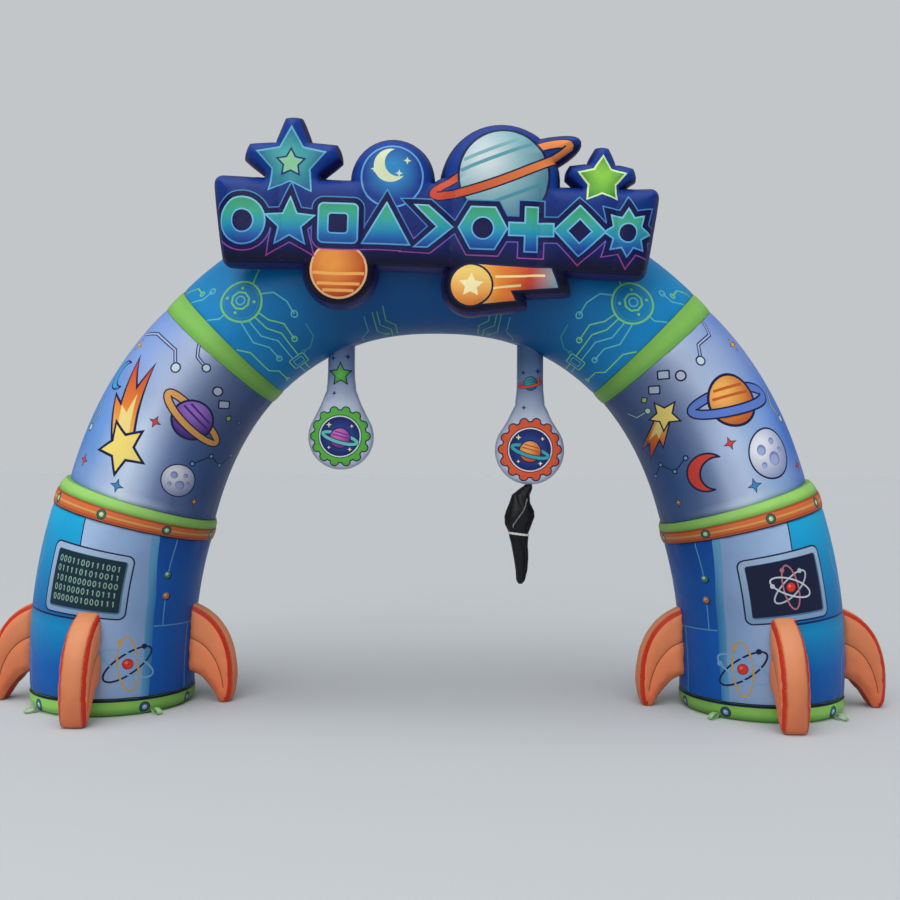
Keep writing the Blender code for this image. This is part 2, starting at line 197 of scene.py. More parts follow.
scene.world = bpy.data.worlds.new("sky")
scene.world.use_nodes = True
tree = scene.world.node_tree
tree.nodes.clear()
way = add_node(tree, "TexCoord")
height = add_node(tree, "SeparateXYZ", {"Vector": way})
strength = add_node(tree, "MapRange", {"Value": height.outputs["Z"]}, To_Min=SKY_LOW, To_Max=SKY_HIGH)
sky = add_node(tree, "Background", {"Strength": strength}, Color=(*linear("#f2f5f8"), 1))
backdrop = add_node(tree, "Background", Color=(*linear(BACKDROP), 1), Strength=1.0)
seen = add_node(tree, "LightPath")
both = add_node(tree, "MixShader", {0: seen, 1: sky, 2: backdrop})
add_node(tree, "OutputWorld", {"Surface": both})

bm = bmesh.new()
bmesh.ops.create_grid(bm, x_segments=2, y_segments=2, size=FLOOR_SIZE / 2)
floor_mesh = bpy.data.meshes.new("floor")
bm.to_mesh(floor_mesh)
bm.free()
floor = add_object("floor", floor_mesh)
paint, tree = new_material("matt_floor_paint")
shade = add_node(tree, "ValToRGB", {"Fac": add_node(tree, "TexNoise", Scale=3.0, Detail=4.0)})
shade.color_ramp.elements[0].color = (*linear("#c3c7ca"), 1)
shade.color_ramp.elements[1].color = (*linear("#cbced1"), 1)
shader = add_node(tree, "BsdfPrincipled", {"Base Color": shade}, Roughness=0.8)
add_node(tree, "OutputMaterial", {"Surface": shader})
floor_mesh.materials.append(paint)
print("studio ready")

# %% [markdown]
# ## Thread materials and the cord on the bundle
#
# A bundle of black nylon hangs under the right drop, tied with white tape, and a thin grey cord
# lies over its front with both ends tucked into the folds. The cord follows the bundle's
# surface, so the table of the bundle's rows comes first. The cloth is light ripstop, so it is
# creased lengthwise, and the tie draws it in.

# %% The bundle's surface
GAP = 0.0003  # metres kept between two pieces
DROP_LOW_END = 1.868 - 0.253  # the right drop's middle, less its radius
BUNDLE_ROWS = np.array((  # height, middle, half width, half depth
    (DROP_LOW_END - GAP, 0.680, 0.022, 0.020), (1.585, 0.662, 0.044, 0.038),
    (1.535, 0.622, 0.064, 0.055), (1.475, 0.616, 0.074, 0.066), (1.420, 0.618, 0.097, 0.078),
    (1.375, 0.612, 0.104, 0.082), (1.320, 0.602, 0.093, 0.076), (1.264, 0.604, 0.071, 0.062),
    (1.236, 0.603, 0.068, 0.060), (1.185, 0.608, 0.060, 0.056), (1.060, 0.622, 0.051, 0.048),
    (0.975, 0.626, 0.042, 0.041), (0.905, 0.620, 0.031, 0.031), (0.880, 0.619, 0.014, 0.014),
))
TIE_HEIGHT = 1.250


def bundle_places(height, angle, extra=0.0):
    """Points on the folded cloth, for arrays of heights and angles."""
    rows = BUNDLE_ROWS[::-1].T
    x, wide, deep = (np.interp(height, rows[0], row) for row in rows[1:])
    crisp = np.abs(np.sin(3.5 * angle + 9 * height + 0.8 * np.sin(21 * height)))
    waist = 1 - 0.75 * np.exp(-((height - TIE_HEIGHT) / 0.02) ** 2)
    fold = 1 + 0.07 * np.cos(3 * angle + 6 * height) + waist * (0.055 - 0.11 * (1 - crisp) ** 2.2)
    out = x + (wide * fold + extra) * np.cos(angle)
    return np.stack([out, (deep * fold + extra) * np.sin(angle), height], axis=-1)


print("bundle from", BUNDLE_ROWS[0, 0].round(3), "m down to", BUNDLE_ROWS[-1, 0], "m")

# %% Nylon, tape, cord and webbing
def plain_material(name, code, dark, roughness, scale, depth):
    """A dyed thread material: two shades mixed by a noise, and a fine bump."""
    made, tree = new_material(name)
    place = add_node(tree, "TexCoord").outputs["Object"]
    blotches = add_node(tree, "TexNoise", {"Vector": place}, Scale=scale, Detail=6.0)
    shades = add_node(tree, "ValToRGB", {"Fac": blotches})
    for stop, position, shade in zip(shades.color_ramp.elements, (0.35, 0.65), (dark, code)):
        stop.position = position
        stop.color = (*linear(shade), 1)
    threads = add_node(tree, "TexNoise", {"Vector": place}, Scale=scale * 12, Detail=2.0)
    bump = add_node(tree, "Bump", {"Height": threads}, Strength=0.4, Distance=depth)
    shader = add_node(tree, "BsdfPrincipled", {"Base Color": shades, "Normal": bump},
                      Roughness=roughness, Specular_IOR_Level=0.3)
    add_node(tree, "OutputMaterial", {"Surface": shader})
    return made


BLACK = plain_material("black_ripstop_nylon", "#0c0e13", "#040507", 0.42, 22.0, 0.002)
TAPE = plain_material("white_cotton_tape", "#e9e7df", "#c9c6ba", 0.75, 60.0, 0.001)
CORD = plain_material("grey_cotton_cord", "#8a8f94", "#63686d", 0.75, 60.0, 0.001)
WEBBING = plain_material("pale_green_polyester_webbing", "#a8cf9a", "#7fb070", 0.65, 70.0, 0.001)
print(len(bpy.data.materials), "materials so far")

# %% The cord
CORD_RADIUS = 0.005
CORD_POINTS = 36
CORD_ROUTE = (  # height, and degrees round the bundle
    (1.510, -55.0), (1.470, -66.0), (1.425, -80.0), (1.380, -94.0), (1.335, -108.0), (1.300, -118.0))
TUCK = 0.4  # how much of the route's first and last stretch goes down into the folds
TUCK_DEPTH, CORD_CLEAR = 0.004, 0.003


def cord_line():
    last = len(CORD_ROUTE) - 1
    places = np.linspace(0, last, CORD_POINTS)
    heights, angles = (np.interp(places, range(last + 1), column) for column in zip(*CORD_ROUTE))
    above = CORD_RADIUS + CORD_CLEAR
    lift = np.interp(places, (0, TUCK, last - TUCK, last), (-TUCK_DEPTH, above, above, -TUCK_DEPTH))
    return bundle_places(heights, np.radians(angles), lift)


line = bpy.data.curves.new("bundle_cord", "CURVE")
line.dimensions = "3D"
line.bevel_depth = CORD_RADIUS
line.bevel_resolution = 4
line.use_fill_caps = True
spline = line.splines.new("POLY")
route = cord_line()
spline.points.add(len(route) - 1)
for point, there in zip(spline.points, route):
    point.co = (*there, 1)
line.materials.append(CORD)
cord = add_object("bundle_cord_string", line)
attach(cord, "root")
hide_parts("bundle_cord")

# %% [markdown]
# ## The tube's centreline
#
# Every section of the tube is rolled round one centreline, a superellipse that stands on the
# floor. A place on the cloth is given by how far along that line it lies and how far round the
# tube it is, so a flat print keeps its size when it is rolled on. A table of lengths turns
# metres along the line into its angle.

# %% Centreline
HALF_SPAN, SPINE_HEIGHT, SPINE_POWER = 2.39, 3.25, 2.25
CROWN_RADIUS, CROWN_DRIFT = 0.510, -0.012


def spine(turn):
    """Points on the centreline. Turn runs from 0 at the right foot to pi at the left one."""
    share = 2 / SPINE_POWER
    across, up = np.cos(turn), np.sin(turn)
    wide = HALF_SPAN * np.sign(across) * np.abs(across) ** share
    return np.stack([wide, 0 * turn, SPINE_HEIGHT * np.abs(up) ** share], axis=-1)


TURNS = np.linspace(0, math.pi, 6001)
LENGTHS = np.concatenate([[0], np.cumsum(np.linalg.norm(np.diff(spine(TURNS), axis=0), axis=1))])


def length_at(height):
    """Metres along the centreline, from the right foot up to a height."""
    turn = math.asin((height / SPINE_HEIGHT) ** (SPINE_POWER / 2))
    return float(np.interp(turn, TURNS, LENGTHS))


def line_at(length):
    """The centreline's points, its direction, and the direction away from the walkway."""
    turn = np.interp(length, LENGTHS, TURNS)
    along = spine(turn + 0.001) - spine(np.maximum(turn - 0.001, 0))
    along /= np.linalg.norm(along, axis=1)[:, None]
    return spine(turn), along, np.stack([along[:, 2], 0 * turn, -along[:, 0]], axis=-1)


def on_tube(length, angle, radius, drift):
    """Points on a ring square to the centreline. At an angle of 0 they point away from the walkway."""
    middle, _, outward = line_at(length)
    round_way = np.cos(angle)[:, None] * outward + np.sin(angle)[:, None] * np.array([0, 1, 0])
    return middle + drift[:, None] * outward + radius[:, None] * round_way


print("centreline of", round(float(LENGTHS[-1]), 3), "m")

# %% [markdown]
# ## Printing on cloth
#
# The cloth is dye-printed while it is flat, then cut and sewn. The same order works here: each
# panel starts as a flat sheet, every shape of the print is cut into it, and each face takes the
# colour of the topmost shape that covers it. The sheet is rolled or blown up afterwards, so the
# print has sharp edges, follows the surface and adds no thickness. One Delaunay triangulation
# does the cutting, because bisecting with a plane could only make straight cuts.

# %% Flat shapes
CORNERS = ((1, 1, 0), (-1, 1, 90), (-1, -1, 180), (1, -1, 270))  # sides in x and y, where the arc starts


def spot(x, y, radius, degrees):
    turn = math.radians(degrees)
    return Vector((x + radius * math.cos(turn), y + radius * math.sin(turn)))


def arc(x, y, radius, start, end, steps):
    """Points on an arc, from start to end in degrees, both included."""
    return [spot(x, y, radius, start + (end - start) * step / steps) for step in range(steps + 1)]


def ellipse(x, y, long_half, short_half, tilt=0.0, steps=24):
    turn = Matrix.Rotation(math.radians(tilt), 2)
    rounds = polygon(0, 0, 1.0, steps, 0.0)
    return [Vector((x, y)) + turn @ Vector((p.x * long_half, p.y * short_half)) for p in rounds]


def disc(x, y, radius, steps=24):
    return ellipse(x, y, radius, radius, steps=steps)


def polygon(x, y, radius, sides, start=90.0):
    return arc(x, y, radius, start, start + 360 - 360 / sides, sides - 1)


def star(x, y, tip, notch, arms=5, start=90.0):
    return [spot(x, y, (tip, notch)[k % 2], start + k * 180 / arms) for k in range(2 * arms)]


def moon_shape(radius, aside, inner):
    """A crescent: an arc, closed by a smaller one that is moved aside."""
    return arc(0, 0, radius, 58, 302, 22) + arc(aside, 0, inner, 270, 90, 18)


def rounded(x, y, half_wide, half_high, corner, flare=0.0):
    """A box with round corners. Flare widens its top and narrows its foot."""
    points = []
    for side_x, side_y, start in CORNERS:
        across = side_x * (half_wide + side_y * flare - corner)
        points += arc(x + across, y + side_y * (half_high - corner), corner, start, start + 90, 5)
    return points


def box(x, y, half_wide, half_high):
    ways = ((-1, -1), (1, -1), (1, 1), (-1, 1))
    return [Vector((x + a * half_wide, y + b * half_high)) for a, b in ways]


def pairs_round(items):
    """Each item with the next one, and the last with the first."""
    return list(zip(items, items[1:] + items[:1]))


def mitres(points, closed, least):
    """For each point of a line, the way to its left, and what a corner divides its width by."""
    last, ways = len(points) - 1, []
    for index, here in enumerate(points):
        before = points[index - 1] if closed or index else 2 * here - points[1]
        after = points[(index + 1) % (last + 1)] if closed or index < last else 2 * here - points[-2]
        squares = [(b - a).normalized().orthogonal() for a, b in ((before, here), (here, after))]
        way = (squares[0] + squares[1]).normalized()
        ways.append((way, max(way.dot(squares[0]), least)))
    return ways


def stroke(points, width, closed=False):
    """A line of some width, as one four-sided shape for each of its stretches."""
    points = [Vector(point) for point in points]
    halves = [way * (width / 2 / share) for way, share in mitres(points, closed, 0.45)]
    sides = [(here + half, here - half) for here, half in zip(points, halves)]
    return [[a[0], a[1], b[1], b[0]] for a, b in pairs_round(sides)[:len(sides) if closed else -1]]


def grown(points, depth):
    """An anticlockwise shape with its edge moved out."""
    points = [Vector(point) for point in points]
    return [here - way * depth / share for here, (way, share) in zip(points, mitres(points, True, 0.42))]


print(len(star(0, 0, 1.0, 0.5)), "points in a star")


# %% Inks
def ramp(*stops):
    """A colour that changes with a number. Stops are (number, hex colour), from low to high."""
    places, codes = zip(*stops)
    parts = np.array([linear(code) for code in codes]).T
    return lambda value: tuple(np.interp(value, places, part) for part in parts)


def flat_ink(code):
    colour = linear(code)
    return lambda point: colour


def faded_ink(*stops, axis=1):
    """An ink that changes along y, or along x for axis 0."""
    fade = ramp(*stops)
    return lambda point: fade(point[axis])


def round_ink(*stops, x=0.0, y=0.0):
    """An ink that changes with the distance from a point, like an airbrush's."""
    fade = ramp(*stops)
    return lambda point: fade(math.hypot(point[0] - x, point[1] - y))


def inked(code, *shapes):
    """Some shapes in one ink. Code is a hex colour, or an ink that was made before."""
    ink = flat_ink(code) if isinstance(code, str) else code
    return [([Vector(point) for point in shape], ink) for shape in shapes]


def layers(*rows):
    """A print, from its lowest layer up. Each row is an ink and its shapes."""
    return [piece for row in rows for piece in inked(*row)]


def moved(prints, x=0.0, y=0.0, tilt=0.0, size=1.0, flip=1.0):
    """A print put somewhere else on its sheet, turned, resized, or mirrored with flip=-1."""
    turn = math.radians(tilt)
    across = Vector((math.cos(turn), math.sin(turn))) * size * flip
    upward = Vector((-math.sin(turn), math.cos(turn))) * size
    there = Matrix(((across.x, upward.x, x), (across.y, upward.y, y), (0, 0, 1)))
    back = there.inverted()
    return [([(there @ Vector((*point, 1))).to_2d() for point in shape],
             lambda point, ink=ink: ink((back @ Vector((*point, 1))).to_2d())) for shape, ink in prints]


print("half way from black to white:", ramp((0, "#000000"), (1, "#ffffff"))(0.5))


# %% Cutting a sheet
PRINT_STEP = 0.030  # longest straight edge of a print, so that it bends with the cloth
SAME_PLACE = 1e-5


def with_steps(outline, longest):
    points = []
    for here, after in pairs_round([Vector(point) for point in outline]):
        pieces = max(1, math.ceil((after - here).length / longest - 0.01))
        points += [here.lerp(after, piece / pieces) for piece in range(pieces)]
    return points


def anticlockwise(shape):
    area = sum(a.x * b.y - b.x * a.y for a, b in pairs_round(shape))
    return shape if area > 0 else shape[::-1]


def inside(shape, x, y):
    """Which of some points a shape covers, by counting the edges to their right."""
    odd = np.zeros(len(x), bool)
    for a, b in pairs_round(shape):
        if a[1] != b[1]:
            crossing = (a[1] > y) != (b[1] > y)
            odd ^= crossing & (x < (b[0] - a[0]) * (y - a[1]) / (b[1] - a[1]) + a[0])
    return odd


def cut_sheet(outlines, prints, extra):
    """Triangulates the union of some outlines, cut along every print's edge.

    Gives the points, the triangles, and for each triangle the prints that cover its middle.
    """
    points, faces, edges = [], [], []
    for shape in outlines:
        faces.append(list(range(len(points), len(points) + len(shape))))
        points += anticlockwise(shape)
    for shape, _ in prints:
        shape = with_steps(shape, PRINT_STEP)
        edges += pairs_round(list(range(len(points), len(points) + len(shape))))
        points += shape
    flat, _, triangles, _, _, sources = delaunay_2d_cdt(points + extra, edges, faces, 1, SAME_PLACE)
    triangles = [list(corners) for corners, source in zip(triangles, sources) if source]
    middles = np.array([sum((flat[k] for k in corners), Vector((0, 0))) / 3 for corners in triangles])
    covers = [[] for _ in triangles]
    order = np.argsort(middles[:, 0])
    middles = middles[order]
    for number, (shape, _) in enumerate(prints):
        xs, ys = zip(*shape)
        near = np.arange(*np.searchsorted(middles[:, 0], (min(xs), max(xs))))
        near = near[(middles[near, 1] > min(ys)) & (middles[near, 1] < max(ys))]
        for k in near[inside(shape, middles[near, 0], middles[near, 1])]:
            covers[order[k]].append(number)
    return flat, triangles, covers


square = box(0, 0, 1, 1)
print(len(cut_sheet([square], inked("#ffffff", disc(0, 0, 0.5)), [])[1]), "triangles in a square with a spot")

# %% Making a piece of cloth
def cloth_layers(bm):
    """The layers that a printed piece carries: each point's way to a seam, ink, and threads."""
    loops = bm.loops.layers
    return bm.verts.layers.float.new("seam"), loops.float_color.new("print"), loops.uv.new("cloth")


def dye(face, bm_layers, ink, places, threads):
    """Colours a face's corners, by their places on the flat sheet, and lays its threads."""
    for loop, place, thread in zip(face.loops, places, threads):
        loop[bm_layers[1]] = (*ink(place), 1)
        loop[bm_layers[2]].uv = thread


def close_ends(bm):
    ends = bmesh.ops.holes_fill(bm, edges=[edge for edge in bm.edges if edge.is_boundary])["faces"]
    bmesh.ops.poke(bm, faces=ends)


def finish_cloth(bm, name):
    """Closes a sewn piece and turns its faces out."""
    bmesh.ops.remove_doubles(bm, verts=bm.verts, dist=SAME_PLACE)
    bmesh.ops.dissolve_degenerate(bm, edges=bm.edges, dist=SAME_PLACE / 10)
    bmesh.ops.recalc_face_normals(bm, faces=bm.faces)
    mesh = bpy.data.meshes.new(name)
    bm.to_mesh(mesh)
    bm.free()
    mesh.shade_smooth()
    return mesh


def add_piece(name, mesh, material, node):
    """Links a finished piece that stands for a node of the frame."""
    made = add_object(name, mesh)
    mesh.materials.clear()
    mesh.materials.append(material)
    mesh.set_sharp_from_angle(angle=math.radians(50))
    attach(made, "root")
    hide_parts(node)
    return made


print("print shop ready")

# %% [markdown]
# ## Printed polyester cloth
#
# The arch is coated polyester of about 210 denier, dye-printed, with threads 0.4 mm apart. From
# a few steps away it looks smooth and satin, a little uneven where the dye took and where hands
# and grass have marked it. The threads are drawn at 5 mm, because real ones can't show, and low.
# Each piece carries its print as a colour attribute, and its distance to the nearest seam in
# another, which the same material reads for a painted shade in the sewn fold and its row of stitches.

# %% Printed cloth
THREADS = 0.005  # metres between drawn threads
STITCH_LINE, STITCH_LONG = 0.009, 0.012  # metres from the seam, and from stitch to stitch
ROUGHNESS = 0.44


def waves(apart):
    """The scale at which a wave texture repeats at a distance in metres."""
    return 2 * math.pi / apart / 20


def printed_cloth(name, thread):
    made, tree = new_material(name)
    ink = add_node(tree, "Attribute", attribute_name="print")
    seam = add_node(tree, "Attribute", attribute_name="seam").outputs["Fac"]
    place = add_node(tree, "TexCoord").outputs
    wear = add_node(tree, "TexNoise", {"Vector": place["Object"]}, Scale=1.7, Detail=5.0, Roughness=0.6)
    worn = add_node(tree, "MapRange", {"Value": wear}, From_Min=0.3, From_Max=0.7, To_Min=0.90, To_Max=1.07)
    # painted shade: the colour is drawn up to a quarter darker within 7 mm of a seam, in the sewn fold
    fold = add_node(tree, "MapRange", {"Value": seam}, From_Min=0.0, From_Max=0.007, To_Min=0.74, To_Max=1.0)
    light = add_node(tree, "Math", {0: worn, 1: fold}, operation="MULTIPLY")
    dyed = add_node(tree, "VectorMath", {0: ink, "Scale": light}, operation="SCALE")
    stitches = add_node(tree, "TexWave", {"Vector": place["UV"]}, Scale=waves(STITCH_LONG),
                        bands_direction="DIAGONAL")
    off_line = add_node(tree, "Math", {0: seam}, operation="SUBTRACT", n1=STITCH_LINE)
    near = add_node(tree, "Math", {0: off_line}, operation="ABSOLUTE")
    on_line = add_node(tree, "MapRange", {"Value": near}, From_Min=0.0012, From_Max=0.0024,
                       To_Min=0.38, To_Max=0.0)
    stitched = add_node(tree, "Math", {0: on_line, 1: stitches.outputs["Fac"]}, operation="MULTIPLY")
    colour = add_node(tree, "Mix", {0: stitched, 6: dyed}, data_type="RGBA", n7=(*linear(thread), 1))
    ripple = add_node(tree, "TexNoise", {"Vector": place["Object"]}, Scale=9.0, Detail=3.0, Distortion=0.4)
    warp, weft = (add_node(tree, "TexWave", {"Vector": place["UV"]}, Scale=waves(THREADS),
                           bands_direction=way).outputs["Fac"] for way in "XY")
    weave = add_node(tree, "Math", {0: warp, 1: weft}, operation="MAXIMUM")
    soft = add_node(tree, "Bump", {"Height": ripple}, Strength=0.25, Distance=0.02)
    fine = add_node(tree, "Bump", {"Height": weave, "Normal": soft}, Strength=0.15, Distance=0.0004)
    shine = add_node(tree, "MapRange", {"Value": wear}, From_Min=0.3, From_Max=0.7,
                     To_Min=ROUGHNESS - 0.05, To_Max=ROUGHNESS + 0.07)
    shader = add_node(tree, "BsdfPrincipled",
                      {"Base Color": colour.outputs[2], "Roughness": shine, "Normal": fine},
                      IOR=1.5, Specular_IOR_Level=0.22)
    add_node(tree, "OutputMaterial", {"Surface": shader})
    return made


THREAD_COLOURS = {
    "blue": "#2f6fa8", "crown": "#2f6fa8", "silver": "#8d9bc0", "green": "#a8d27c", "orange": "#b3542e",
    "fin": "#d8805a", "sign": "#3b3f86", "pendant": "#8d9bc0",
    "base": "#0d1430",  # the base band's seam is sewn with nearly black thread, on its dark edge
}
CLOTHS = {name: printed_cloth("printed_polyester_" + name, code) for name, code in THREAD_COLOURS.items()}
print(len(CLOTHS), "printed cloths")

# %% [markdown]
# ## Rolling a printed sheet round the tube
#
# A section is one sheet, sewn to itself along the side that faces the walkway and to its
# neighbours at both ends. Air presses it round, and it stands out a little between its end
# seams. The threads there are gathered, so short creases run away from each seam and fade out.
# A noise that is drawn out along the tube makes them, and it fades with distance from the seam.

# %% Rolled sections
SEAM_ROWS = (0.0, 0.005, 0.012, 0.022, 0.036, 0.055)  # rows of points near an end, in metres
SHEET_STEP = 0.030
COLUMNS = 120  # points round the tube
PINCH, PINCH_REACH = 0.006, 0.014
CREASE, CREASE_REACH, CREASE_WIDE = 0.0075, 0.10, 0.070
# painted shade: the share of its colour an ink keeps, by degrees round from the leg's outside
WALKWAY_SHADE = ((0, 1.0), (82, 1.0), (104, 0.86), (120, 0.74), (143, 0.62), (180, 0.60))


def sheet_rows(length):
    plain = length - 2 * SEAM_ROWS[-1]
    middle = max(1, round(plain / SHEET_STEP))
    inner = [SEAM_ROWS[-1] + plain * k / middle for k in range(1, middle)]
    return sorted({*SEAM_ROWS, *inner, *(length - row for row in SEAM_ROWS)})


def crease(x, y, reach, length, around):
    """How far the cloth stands in or out beside the seams at both ends. It repeats round the tube."""
    turn, depth = math.tau * x / around, 0.0
    circle = Vector((math.cos(turn), math.sin(turn), 0)) * around / math.tau / CREASE_WIDE
    for end, away in ((0.0, y), (7.3, length - y)):
        fine = noise.noise(circle + Vector((0, 0, end + away * 2.5)))
        depth += CREASE * fine * math.exp(-away / reach) - PINCH * math.exp(-away / PINCH_REACH)
    return depth * min(1.0, 0.22 + length / 0.6)


def with_walkway_shade(ink, around):
    """Painted shade: every ink on a leg is darkened towards the walkway side, where less light reaches."""
    degrees, shares = zip(*WALKWAY_SHADE)

    def shaded(point):
        share = np.interp(abs(360 * point.x / around), degrees, shares)
        return [part * share for part in ink(point)]
    return shaded


def rolled_mesh(name, start, length, around, profile, prints, ground, mirror, walkway_shade=True):
    """Rolls a printed sheet. Profile gives radius and drift for a share of its length."""
    # painted shade towards the walkway on every leg section's inks
    if walkway_shade:
        prints = [(shape, with_walkway_shade(ink, around)) for shape, ink in prints]
        ground = with_walkway_shade(ground, around)
    extra = [Vector((around * (k / COLUMNS - 0.5), y)) for y in sheet_rows(length)
             for k in range(COLUMNS + 1)]
    flat, triangles, covers = cut_sheet([box(0, length / 2, around / 2, length / 2)], prints, extra)
    x, y = np.array([tuple(p) for p in flat]).T
    radius, drift = profile(np.clip(y / length, 0, 1))
    reach = min(CREASE_REACH, length / 3)
    radius = radius + np.array([crease(*p, reach, length, around) for p in flat])
    along = start + GAP / 2 + y * (length - GAP) / length
    places = on_tube(along, math.tau * x / around, radius, drift)
    if mirror:
        places[:, 0] *= -1
    bm = bmesh.new()
    bm_layers = cloth_layers(bm)
    verts = [bm.verts.new(place) for place in places]
    for vert, high in zip(verts, y):
        vert[bm_layers[0]] = min(high, length - high)
    for corners, cover in zip(triangles, covers):
        ink = prints[max(cover)][1] if cover else ground
        spots = [flat[k] for k in corners]
        dye(bm.faces.new([verts[k] for k in corners]), bm_layers, ink, spots, spots)
    bmesh.ops.remove_doubles(bm, verts=bm.verts, dist=SAME_PLACE)
    close_ends(bm)
    return finish_cloth(bm, name)


print(len(sheet_rows(1.0)), "rows of points on a metre of tube")


# %% [markdown]
# ## Prints for the legs
#
# A leg is printed like the outside of a toy space rocket: a silver stripe between two blue
# zones, a screen with rows of noughts and ones or with an atom, switch knobs on thin lines, and
# ring bolts on the bands. Places are given as metres outwards from the middle of the front, and
# metres up from the section's lower seam. The back of the leg repeats the front.

# %% Small prints
NAVY = "#141c46"


def ring_bolt(radius, rim, face, centre):
    return layers((NAVY, disc(0, 0, radius, 20)), (rim, disc(0, 0, radius * 0.84, 20)),
                  (NAVY, disc(0, 0, radius * 0.58, 16)), (face, disc(0, 0, radius * 0.47, 16)),
                  (centre, disc(-0.1 * radius, 0.12 * radius, radius * 0.2, 10)))


def atom(radius, thin, colours, nucleus):
    prints = []
    for colour, tilt in zip(colours, (35, 95, 155)):
        orbit = stroke(ellipse(0, 0, radius, radius * 0.36, tilt, 32), thin, True)
        electron = disc(*spot(0, 0, radius * 0.86, tilt + 14), thin * 1.5, 10)
        prints += inked(colour, *orbit, electron)
    shine = disc(-nucleus * 0.3, nucleus * 0.3, nucleus * 0.35, 10)
    return prints + layers(("#8e1c16", disc(0, 0, nucleus * 1.16, 18)),
                           ("#e0392b", disc(0, 0, nucleus, 18)), ("#f4755f", shine))


def screen(half_wide, half_high, glass):
    frame_ink = faded_ink((-half_high, "#7fa3c8"), (half_high, "#a4bcd8"))
    return layers((NAVY, rounded(0, 0, half_wide, half_high, 0.055)),
                  (frame_ink, rounded(0, 0, half_wide - 0.011, half_high - 0.011, 0.046)),
                  ("#4f7396", rounded(0.004, -0.004, half_wide - 0.047, half_high - 0.045, 0.022)),
                  (glass, rounded(0, 0, half_wide - 0.054, half_high - 0.052, 0.014)))


def digit_rows(wide, high, count, rows):
    """Rows of noughts and ones, in a fixed random order."""
    draw = random.Random(11)
    prints, pitch, half = [], wide / count, high / rows * 0.30
    for row in range(rows):
        for place in range(count):
            x, y = (place + 0.5) * pitch - wide / 2, (row + 0.5) * high / rows - high / 2
            if draw.random() < 0.45:
                shapes = stroke([(x, y - half), (x, y + half)], pitch * 0.20)
                shapes += stroke([(x - pitch * 0.22, y + half * 0.5), (x, y + half)], pitch * 0.16)
            else:
                shapes = stroke(ellipse(x, y, pitch * 0.28, half, 0, 10), pitch * 0.17, True)
            prints += inked("#8db3a4", *shapes)
    return prints


def knob(rim, centre):
    return layers((NAVY, disc(0.006, -0.006, 0.031, 16)), (rim, disc(0, 0, 0.027, 16)),
                  (centre, disc(-0.006, 0.007, 0.013, 12)))


print(len(digit_rows(0.475, 0.315, 13, 5)), "strokes in the noughts and ones")


# %% A leg's drum
DRUM_ROUND = math.tau * 0.584
DRUM_HIGH, DRUM_WAIST = 1.2222, 0.55  # its cloth's length, and the height of its middle line
PALE_LINES = (
    [(-0.50, DRUM_HIGH), (-0.495, 0.955)], [(-0.51, 0.735), (-0.515, 0.535)],
    [(-0.445, 0.528), (-DRUM_ROUND / 4, 0.535)], [(-0.78, 0.53), (-0.755, 0.0)],
    [(0.56, 0.98), (0.56, 0.86), (0.62, 0.80), (0.62, 0.64)], [(0.66, 0.98), (0.66, 0.84), (0.73, 0.77)],
    [(0.56, 0.0), (0.56, 0.26), (0.66, 0.36), (0.80, 0.36)], [(0.62, 0.0), (0.62, 0.22), (0.70, 0.30)],
)
SCREEN_PLACE = (0.073, 0.802)
SEAM_TAPE = "#0d1430"  # the nearly black line over the seam between the drum and the base band


def put(prints, hand, x, y, side, round_size):
    """Puts an upright print on the front (side -1) or the back (1), so that it reads rightly."""
    return moved(prints, x=side * (round_size / 4 - x), y=y, flip=float(hand))


def drum_zones():
    """The blue and silver zones of one face. X points away from the walkway."""
    side = DRUM_ROUND / 4
    edge = [(0.185, DRUM_HIGH), (0.10, DRUM_WAIST), (0.06, 0.0)]
    inner = [(-0.36, 0.0), (-0.385, 0.30), (-0.375, 0.75), (-0.30, DRUM_HIGH)]
    glow = [(-0.36, 0.0), (-0.42, 0.0), (-0.445, 0.30), (-0.435, 0.75), (-0.36, DRUM_HIGH)]
    waist = DRUM_WAIST - 0.002
    return layers(
        (faded_ink((0.0, "#0054a4"), (0.22, "#005eb2"), (0.48, "#088ec8"), (0.545, "#0880bc")),
         edge[::-1] + [(side, DRUM_HIGH), (side, 0.0)]),
        (faded_ink((0.545, "#0068b0"), (0.85, "#068cc8"), (1.22, "#1cb0e2")),
         edge[1::-1] + [(side, DRUM_HIGH), (side, DRUM_WAIST)]),
        (NAVY, *stroke([(0.10, waist), (side, waist)], 0.013)),
        (faded_ink((-0.40, "#8aadd8"), (-0.25, "#92b0dc"), (0.05, "#a0bce0"), (0.18, "#a8c4e4"), axis=0),
         inner + edge),
        (faded_ink((-0.445, "#2a7fc0"), (-0.36, "#6aacd8"), axis=0), glow + inner[:0:-1]),
        (NAVY, *stroke(edge, 0.009)),
        *(("#5fa8dc", *stroke(line, 0.010)) for line in PALE_LINES))


